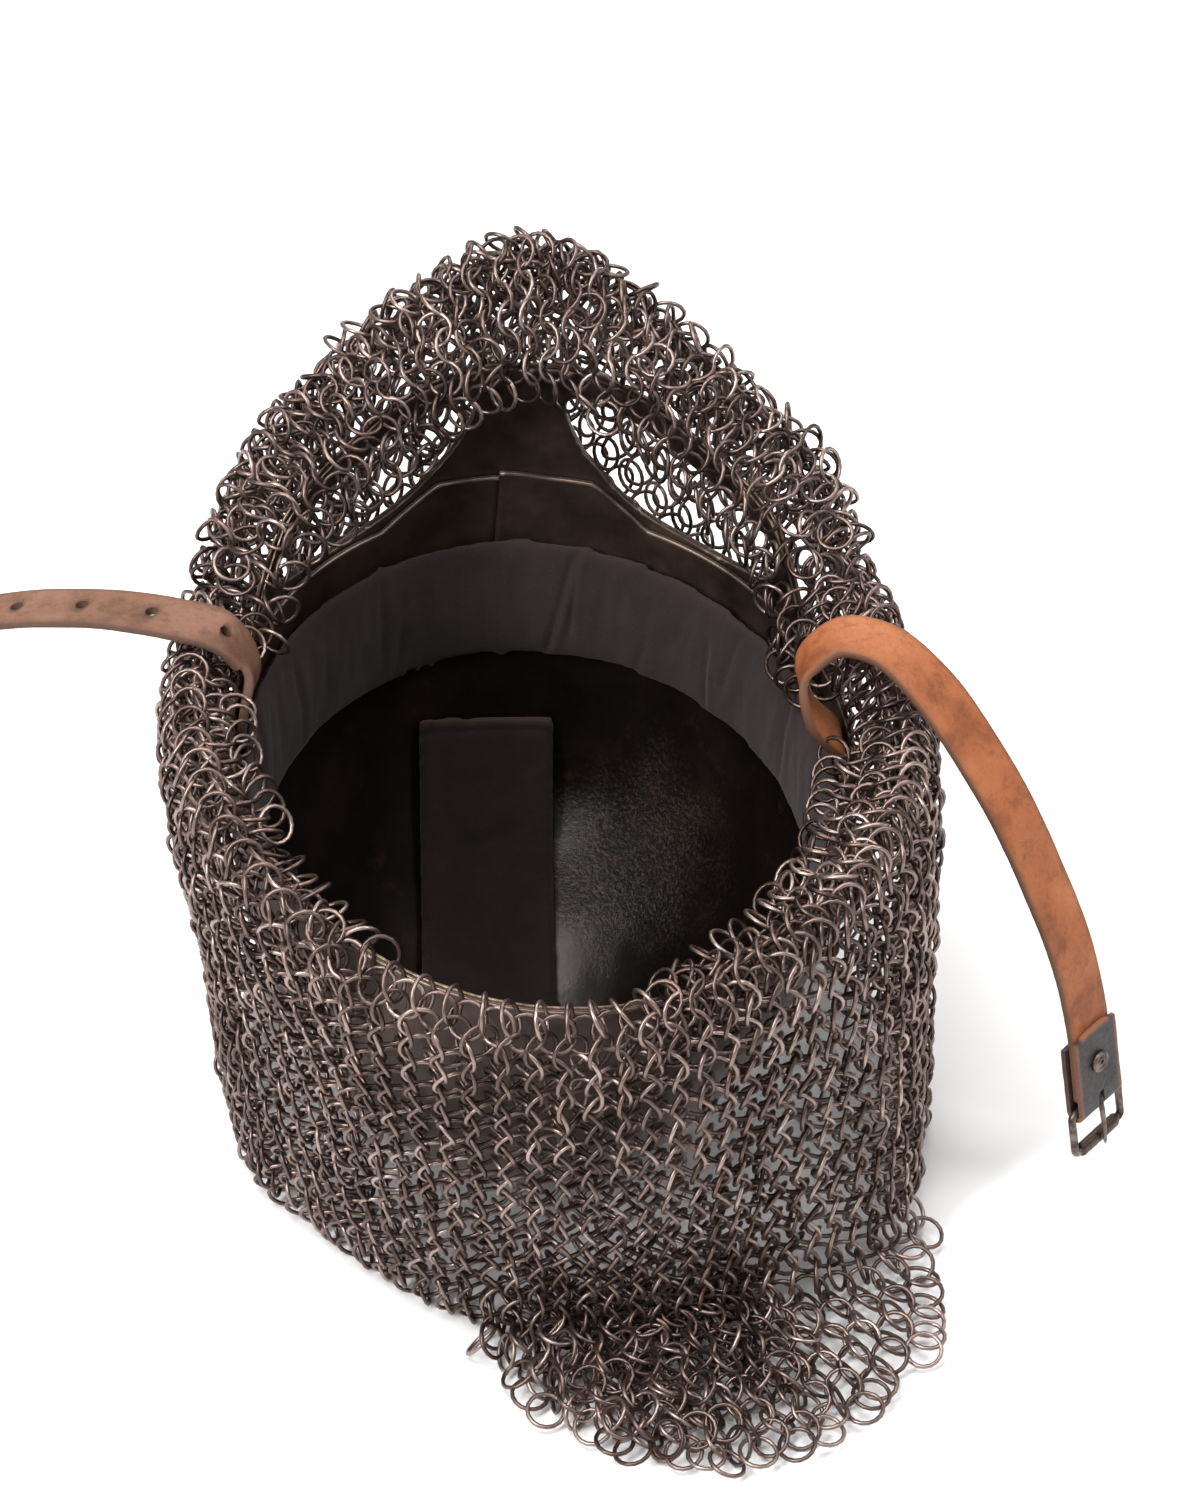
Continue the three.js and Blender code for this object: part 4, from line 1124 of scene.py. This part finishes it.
_, FRAMES_R, LENGTH_R = strap("strap_right", "tan_leather")
STRAP_L, FRAMES_L, _ = strap("strap_left", "pale_leather")
for hole in range(HOLE_COUNT):
    strap_hole(STRAP_L, FRAMES_L, FIRST_HOLE + hole * HOLE_STEP)


# The padding

def helmet_place(place):
    """Angle, height and offset in the helmet's own frame, of a point on the table's axes."""
    x, y, z = LYING_BACK @ Vector(place)
    wide, long = HALF_WIDTH * bowl(z), HALF_LENGTH * bowl(z)
    offset = -5.0
    for _ in range(3):
        turn = math.atan2(x / (wide + offset), y / (long + offset))
        across, along = math.sin(turn), math.cos(turn)
        offset = x * across + y * along - wide * across ** 2 - long * along ** 2
    return math.degrees(turn), z, offset


def remesh(piece):
    modify(piece, "REMESH", mode="VOXEL", voxel_size=PAD_VOXEL)
    modify(piece, "SMOOTH", factor=0.5, iterations=7)


def puff(piece, held, cap):
    """Fills a pad out by simulation, held at the given vertices, and moved by no more than the cap."""
    group = piece.vertex_groups.new(name="held")
    group.add([int(i) for i in held], 1.0, "REPLACE")
    start = vectors(piece)
    cloth = piece.modifiers.new("cloth", "CLOTH")
    cloth.settings.quality = 5
    cloth.settings.use_pressure = True
    cloth.settings.uniform_pressure_force = PAD_PRESSURE
    cloth.settings.effector_weights.gravity = 0
    cloth.settings.vertex_group_mass = "held"
    for step in range(1, PAD_FRAMES + 1):
        bpy.context.scene.frame_set(step)
    apply_modifiers(piece)
    bpy.context.scene.frame_set(1)
    moved = vectors(piece) - start
    far = np.linalg.norm(moved, axis=1, keepdims=True)
    move_to(piece, start + moved * np.minimum(1.0, cap * MM / np.maximum(far, 1e-9)))


def facing_in(piece, inwards):
    """How much each vertex faces the middle of the bowl, from -1 to 1."""
    return np.clip(np.sum(vectors(piece, "normal") * inwards, axis=1), -1, 1)


def crease(angle, part):
    """How deep the band's cloth is creased in at an angle and part of its height, in millimetres."""
    depth = 0.0
    for at, slant, low, high, width, deep in CREASES:
        if low - 0.15 < part < high + 0.15:
            along = smooth(low - 0.1, low + 0.12, part) * (1 - smooth(high - 0.12, high + 0.1, part))
            bend = 0.5 * math.sin(3.0 * part + at)
            away = math.radians(signed(angle - at - slant * (part - 0.5) - bend)) * 105.0
            ridge = 0.35 * hump(away - 2.6 * width, 1.6 * width)
            depth += along * deep * (hump(away, width) - ridge)
    return depth


def pad_bottom(angle):
    return BAND_PAD["bottom"] + BAND_PAD["lean"] * math.sin(math.radians(angle - BAND_PAD["lean_angle"]))


def head_pad():
    columns, rows = 180, 12
    wall = PLATE + GAP
    points = []
    for inner in (0, 1):
        for i in range(columns):
            angle = 360.0 * i / columns
            bottom = pad_bottom(angle)
            for j in range(rows):
                t = j / (rows - 1)
                depth = inner * (BAND_PAD["edge"] + BAND_PAD["middle"] * math.sqrt(math.sin(math.pi * t)))
                points.append(around(angle, bottom + t * (BAND_PAD["top"] - bottom), -wall - 0.2 - depth))
    faces = sheet_faces(columns, rows, True)
    piece = make("head_pad_cloth", stand(points), faces, "charcoal_cotton", "headband_pad")
    fix_normals(piece)
    remesh(piece)
    places = [helmet_place(p / MM) for p in vectors(piece)]
    puff(piece, [i for i, (_, _, offset) in enumerate(places) if offset > -wall - 1.2], 2.0)
    modify(piece, "SUBSURF", levels=1, render_levels=1)
    points = vectors(piece)
    places = [helmet_place(p / MM) for p in points]
    turn = STANDING.to_3x3()
    inwards = np.array([turn @ Vector((-math.sin(math.radians(a)), -math.cos(math.radians(a)), 0))
                        for a, _, _ in places])
    facing = facing_in(piece, inwards)
    hems = []
    for i, (angle, z, _) in enumerate(places):
        bottom = pad_bottom(angle)
        part = (z - bottom) / (BAND_PAD["top"] - bottom)
        turned = math.radians(angle)
        around_it = Vector((math.sin(turned) * 9, math.cos(turned) * 9, part * 0.8))
        gathers = 0.55 * noise.noise(around_it) + 0.25 * noise.noise(around_it * 2.7)
        inside = smooth(0.1, 0.8, facing[i]) * smooth(0.0, 0.12, part) * (1 - smooth(0.86, 1.0, part))
        points[i] -= inwards[i] * MM * inside * (crease(angle, part) - gathers)
        hems.append(0.6 * smooth(0.88, 1.0, part) + 0.25 * (1 - smooth(0.0, 0.06, part)))
    move_to(piece, points)
    attribute(piece, "hem", hems)
    smooth_shaded(piece)


def crown_point(sweep, part, depth):
    """A point under the crown, by its sweep from front to back, part of the half width and depth."""
    lean = math.cos(math.radians(sweep))
    half_width, half_length = HALF_WIDTH - depth, HALF_LENGTH - depth
    wide = (CROWN_PAD["offset"] + part * CROWN_PAD["width"] / 2) / half_width
    reach = math.copysign(abs(lean) ** (2 / ROUNDNESS) * math.sqrt(1 - wide ** 2), lean)
    out = min(1.0, math.hypot(wide, reach))
    down = (1 - out ** ROUNDNESS) ** (1 / ROUNDNESS)
    return Vector((wide * half_width, reach * half_length, HEIGHT - (HEIGHT - depth) * down))


def crown_place(place):
    """Sweep from front to back and part of the half width, of a point on the table's axes."""
    x, y, _ = LYING_BACK @ Vector(place)
    wide = x / (HALF_WIDTH - 5)
    lean = (min(1.0, abs(y / (HALF_LENGTH - 5)) / math.sqrt(1 - wide ** 2))) ** (ROUNDNESS / 2)
    part = (x - CROWN_PAD["offset"]) / (CROWN_PAD["width"] / 2)
    return math.degrees(math.acos(math.copysign(lean, y))), part


def crown_sheet(front, back, half):
    """The crown pad's cloth before it is filled, over the inside of the crown."""
    columns, rows = 90, 22
    points = []
    for thick in (0.0, CROWN_PAD["thickness"]):
        for i in range(columns):
            sweep = front + (back - front) * i / (columns - 1)
            for j in range(rows):
                part = -half + 2 * half * j / (rows - 1)
                points.append(crown_point(sweep, part, PLATE + GAP + CROWN_PAD["lift"] + thick))
    faces = sheet_faces(columns, rows, False)
    piece = make("crown_pad_cloth", stand(points), faces, "black_cotton", "crown_pad")
    fix_normals(piece)
    return piece


def towards_middle(points):
    """Directions from points, in metres, to the middle of the rim."""
    turn, centre = STANDING.to_3x3(), Vector((0, 0, HEIGHT))
    return np.array([turn @ (centre - LYING_BACK @ Vector(p / MM)).normalized() for p in points])


def crown_pad():
    front, back = CROWN_PAD["front"], CROWN_PAD["back"]
    piece = crown_sheet(front + 0.5, back - 0.5, 0.97)
    remesh(piece)
    facing = facing_in(piece, towards_middle(vectors(piece)))
    puff(piece, np.flatnonzero(facing < -0.3), 1.6)
    modify(piece, "SUBSURF", levels=1, render_levels=1)
    points = vectors(piece)
    inwards = towards_middle(points)
    facing = facing_in(piece, inwards)
    hems = []
    for i, point in enumerate(points):
        sweep, part = crown_place(point / MM)
        end = min(sweep - front, back - sweep)
        side = 1 - abs(part)
        stitched = hump(end - 4.6, 0.5) + 0.7 * hump(side - 0.11, 0.02)
        lip = 0.5 * (1 - smooth(0.0, 0.09, side)) + 0.4 * (1 - smooth(0.0, 4.0, end))
        wave = 0.8 * wobble(sweep * 0.05, part * 1.5, 4.0)
        wave += 0.3 * wobble(sweep * 0.3, part * 5, 1.0)
        inside = smooth(0.1, 0.8, facing[i])
        points[i] += inwards[i] * MM * inside * (lip + wave - 0.9 * stitched)
        ragged = 0.5 + 0.5 * wobble(sweep * 0.4, part * 3, 7.0)
        hems.append(max(0.75 * (1 - smooth(1.5, 4.2, end)), ragged * (1 - smooth(0.02, 0.10, side))))
    move_to(piece, points)
    attribute(piece, "hem", hems)
    smooth_shaded(piece)


head_pad()
crown_pad()


# The wire through the mail's first rings

def tube(name, centres, ups, radii, sides, slot, node, cyclic=False):
    """A round bar along points, each with a radius and a direction square to the run."""
    count = len(centres)
    points = []
    for i, (centre, up, size) in enumerate(zip(centres, ups, radii)):
        before = centres[i - 1] if i or cyclic else centre
        after = centres[(i + 1) % count] if i < count - 1 or cyclic else centre
        run = (after - before).normalized()
        face = (up - run * up.dot(run)).normalized()
        side = run.cross(face)
        for sine, cosine in around_circle(sides):
            points.append(centre + side * (size * cosine) + face * (size * sine))
    piece = make(name, points, bar_faces(count, sides, cyclic), slot, node)
    fix_normals(piece)
    return piece


def rim_wire():
    count = 420
    centres, ups = [], []
    for i in range(count):
        angle = 360.0 * i / count
        turn = math.radians(angle)
        sway = wobble(math.sin(turn) * 12, math.cos(turn) * 12, 0.0)
        place = edge_point(angle, WIRE_LIFT + 0.25 * sway)
        centres.append(STANDING @ place)
        ups.append(STANDING.to_3x3() @ Vector((place.x, place.y, 0)).normalized())
    tube("rim_wire_brass", centres, ups, [0.62] * count, 8, "hanging_wire", "rim_wire", True)


rim_wire()


# The buckle, in the tab at the right strap's end

END = FRAMES_R[-1]


def from_end(run, width, height):
    """A point by run, width and face distances from the right strap's end."""
    return END[0] + END[1] * run + END[2] * width + END[3] * height


def tab_profile(offset):
    """The tab's line in run and height: over the strap, round the buckle's bar and back under it."""
    points = [(-TAB_LENGTH + TAB_LENGTH * k / 12, offset) for k in range(12)]
    for k in range(15):
        turn = math.radians(90 - 180 * k / 14)
        points.append((TAB_BEND + offset * math.cos(turn), offset * math.sin(turn)))
    return points + [(-TAB_UNDER * k / 10, -offset) for k in range(1, 11)]


def tab():
    near = STRAP_THICKNESS / 2 + TAB_GAP
    rows = 25
    outer, inner = tab_profile(near + TAB_THICKNESS), tab_profile(near)
    points = []
    for line in (outer, inner):
        for i, (run, height) in enumerate(line):
            for j in range(rows):
                width = -TAB_HALF + 2 * TAB_HALF * j / (rows - 1)
                edge = smooth(7.0, TAB_HALF, abs(width))
                sway = 0.7 * edge * wobble(i * 0.22, 2.0 if width > 0 else 6.0, 0.5)
                end = 1.6 * (1 - smooth(-28, -22, run)) * smooth(4, TAB_HALF, abs(width)) * (height > 0)
                lift = 0.25 * wobble(i * 0.3, width * 0.2, 3.0) if line is outer else 0.0
                aside, raised = width + math.copysign(sway, width), height + math.copysign(lift, height)
                points.append(from_end(run + end, aside, raised))
    faces = sheet_faces(len(outer), rows, False)
    piece = make("strap_tab_leather", points, faces, "dark_leather", "strap_tab")
    fix_normals(piece)
    past = TAB_BEND + near + 4
    corners = [(0.3, -1.5), (past, -1.5), (past, 1.5), (0.3, 1.5)]
    cut(piece, [from_end(r, w, -past) for r, w in corners], [from_end(r, w, past) for r, w in corners])
    bevel(piece, 0.3)
    edges = []
    middle = near + TAB_THICKNESS / 2
    for point in vectors(piece):
        away = Vector(point / MM) - END[0]
        run, width, height = away.dot(END[1]), away.dot(END[2]), away.dot(END[3])
        rim = smooth(10.0, 10.9, abs(width)) if abs(abs(height) - middle) < 0.75 or run > 5 else 0.0
        raw = smooth(9.4, 10.6, abs(width)) * (0.6 if height > 0 else 0.2)
        edges.append(max(rim, raw, 1 - smooth(-27.6, -26.8, run)))
    attribute(piece, "edge", edges)
    smooth_shaded(piece)


def rivet():
    """A dished washer riveted through the tab, with a browned ring in its groove and its shallow middle
    painted dark as the shade of a hole.
    """
    part = 1 - RIVET_FROM_END / LENGTH_R
    place, run, across, face, _ = FRAMES_R[round(part * (len(FRAMES_R) - 1))]
    base = STRAP_THICKNESS / 2 + 2 * TAB_GAP + TAB_THICKNESS
    turns, size = 36, len(RIVET)
    points, browns_and_hole_shade = [], []
    for sine, cosine in around_circle(turns):
        out = run * cosine + across * sine
        for radius, height in RIVET:
            points.append(place + out * radius + face * (base + height))
            # The shallow middle is painted dark as shade, so that it reads as a hole; the ring round the
            # groove is browned
            browns_and_hole_shade.append(1.0 if radius < 0.9 else (0.35 if 1.9 < radius < 3.0 else 0.0))
    faces = grid_faces(turns, size, True)
    faces.append(tuple(k * size for k in range(turns)))
    faces.append(tuple(k * size + size - 1 for k in range(turns))[::-1])
    piece = make("tab_rivet_washer", points, faces, "buckle_steel", "tab_rivet")
    fix_normals(piece)
    attribute(piece, "brown", browns_and_hole_shade)


def frame_line():
    """The middle line of the buckle's frame: a rectangle with round corners, in run and width."""
    near, far = TAB_BEND + BUCKLE_CORNER, TAB_BEND + BUCKLE_DEPTH - BUCKLE_CORNER
    wide = BUCKLE_HALF - BUCKLE_CORNER
    arcs = []
    for run, width, first in ((far, wide, 90), (far, -wide, 0), (near, -wide, -90), (near, wide, 180)):
        turns = [math.radians(first - 90 * k / 8) for k in range(9)]
        arcs.append([Vector((run + BUCKLE_CORNER * math.cos(t), width + BUCKLE_CORNER * math.sin(t), 0))
                     for t in turns])
    line = []
    for arc, after in zip(arcs, arcs[1:] + arcs[:1]):
        line += arc + [arc[-1].lerp(after[0], k / 10) for k in range(1, 10)]
    return line


def squared(value):
    """A sine or cosine, pushed outwards so that a circle turns into a rounded square."""
    return math.copysign(abs(value) ** ROLLER_ROUND, value)


def buckle():
    """A rectangular wire frame, and a flat brown roller on its far bar, joined in one mesh."""
    line = frame_line()
    count, sides, steps, roller_sides = len(line), 12, 22, 16
    points = []
    for i, centre in enumerate(line):
        run = (line[(i + 1) % count] - line[i - 1]).normalized()
        out = run.cross(Vector((0, 0, 1)))
        size = BUCKLE_WIRE * (1 + 0.05 * wobble(i * 0.4, 1.0, 2.0))
        for sine, cosine in around_circle(sides):
            points.append(from_end(*(centre + out * (size * cosine) + Vector((0, 0, size * sine)))))
    start = len(points)
    for i in range(steps):
        width = (BUCKLE_HALF - 2.6) * (2 * i / (steps - 1) - 1)
        end = 0.35 * (i in (0, steps - 1))
        dent = 0.12 * wobble(i * 0.5, 4.0, 0.0)
        wide, high = ROLLER_WIDE - end + dent, ROLLER_HIGH - end + dent
        for sine, cosine in around_circle(roller_sides):
            run = TAB_BEND + BUCKLE_DEPTH + wide * squared(cosine)
            points.append(from_end(run, width, high * squared(sine)))
    faces = bar_faces(count, sides, True)
    faces += [tuple(start + v for v in f) for f in bar_faces(steps, roller_sides)]
    piece = make("buckle_frame_wire", points, faces, "buckle_steel", "buckle_frame")
    fix_normals(piece)
    attribute(piece, "brown", [0.0] * start + [0.9] * (len(points) - start))


def prong():
    """The prong hooks round the near bar and lies across the far one, thinner to its tip."""
    line = []
    for k in range(13):
        turn = math.radians(270 - 180 * k / 12)
        line.append((TAB_BEND + PRONG_REACH * math.cos(turn), PRONG_REACH * math.sin(turn)))
    reach = BUCKLE_DEPTH + 2.5
    for k in range(1, 15):
        part = k / 14
        height = PRONG_REACH + 0.35 * math.sin(math.pi * part) + 0.25 * part
        line.append((TAB_BEND + reach * part, height))
    count = len(line)
    centres = [from_end(run, 0, height) for run, height in line]
    radii = [1.0 - 0.35 * smooth(14, 26, i) - 0.35 * (i == count - 1) for i in range(count)]
    piece = tube("buckle_prong_wire", centres, [END[2]] * count, radii, 10, "buckle_steel", "buckle_prong")
    attribute(piece, "brown", [0.15] * len(piece.data.vertices))


tab()
rivet()
buckle()
prong()


# Floor, lights and camera

def floor():
    made = Finish("table")
    made.set(Base_Color=made.levels(made.noise(3.0, 2.0), 0.2, 0.86, 0.8, 0.90), Roughness=0.75)
    half = FLOOR_WIDTH / 2
    corners = [(-half, -half, 0), (half, -half, 0), (half, half, 0), (-half, half, 0)]
    top = link_mesh("table", corners, [(0, 1, 2, 3)])
    top.data.materials.append(made.material)


def aimed(name, data, place, aim):
    """A new light or camera in the scene, turned to look at its aim, both in metres."""
    made = bpy.data.objects.new(name, data)
    bpy.context.scene.collection.objects.link(made)
    made.location = place
    made.rotation_euler = (Vector(aim) - Vector(place)).to_track_quat("-Z", "Y").to_euler()
    return made


def area_light(name, place, size, power):
    """A soft light that shines on the helmet."""
    data = bpy.data.lights.new(name, "AREA")
    data.shape = "RECTANGLE"
    data.size, data.size_y = size
    data.energy = power
    aimed(name, data, place, LIT_SPOT)


def studio():
    area_light("key", (-1.50, -1.45, 1.75), (0.55, 1.3), 58.0)
    area_light("overhead", (-0.5, -0.6, 3.0), (1.6, 1.6), 70.0)
    area_light("right", (1.9, -0.2, 2.3), (1.0, 1.0), 30.0)
    area_light("back", (0.2, 2.1, 2.2), (1.8, 0.9), 34.0)
    world = bpy.data.worlds.new("studio")
    bpy.context.scene.world = world
    world.use_nodes = True
    sky = world.node_tree.nodes["Background"].inputs
    sky["Color"].default_value = (1, 0.985, 0.965, 1)
    sky["Strength"].default_value = 0.42
    bpy.context.scene.view_settings.view_transform = "Standard"


def camera():
    elevation = math.radians(VIEW_ELEVATION)
    back = np.array([0.0, -math.cos(elevation), math.sin(elevation)])
    data = bpy.data.cameras.new("camera")
    data.sensor_fit = "VERTICAL"
    data.sensor_height = SENSOR
    data.lens = SENSOR * FOCAL_PIXELS / PICTURE_HEIGHT
    place = (VIEW_FROM + back * VIEW_DISTANCE) * MM
    bpy.context.scene.camera = aimed("camera", data, place, VIEW_AIM * MM)


floor()
studio()
camera()
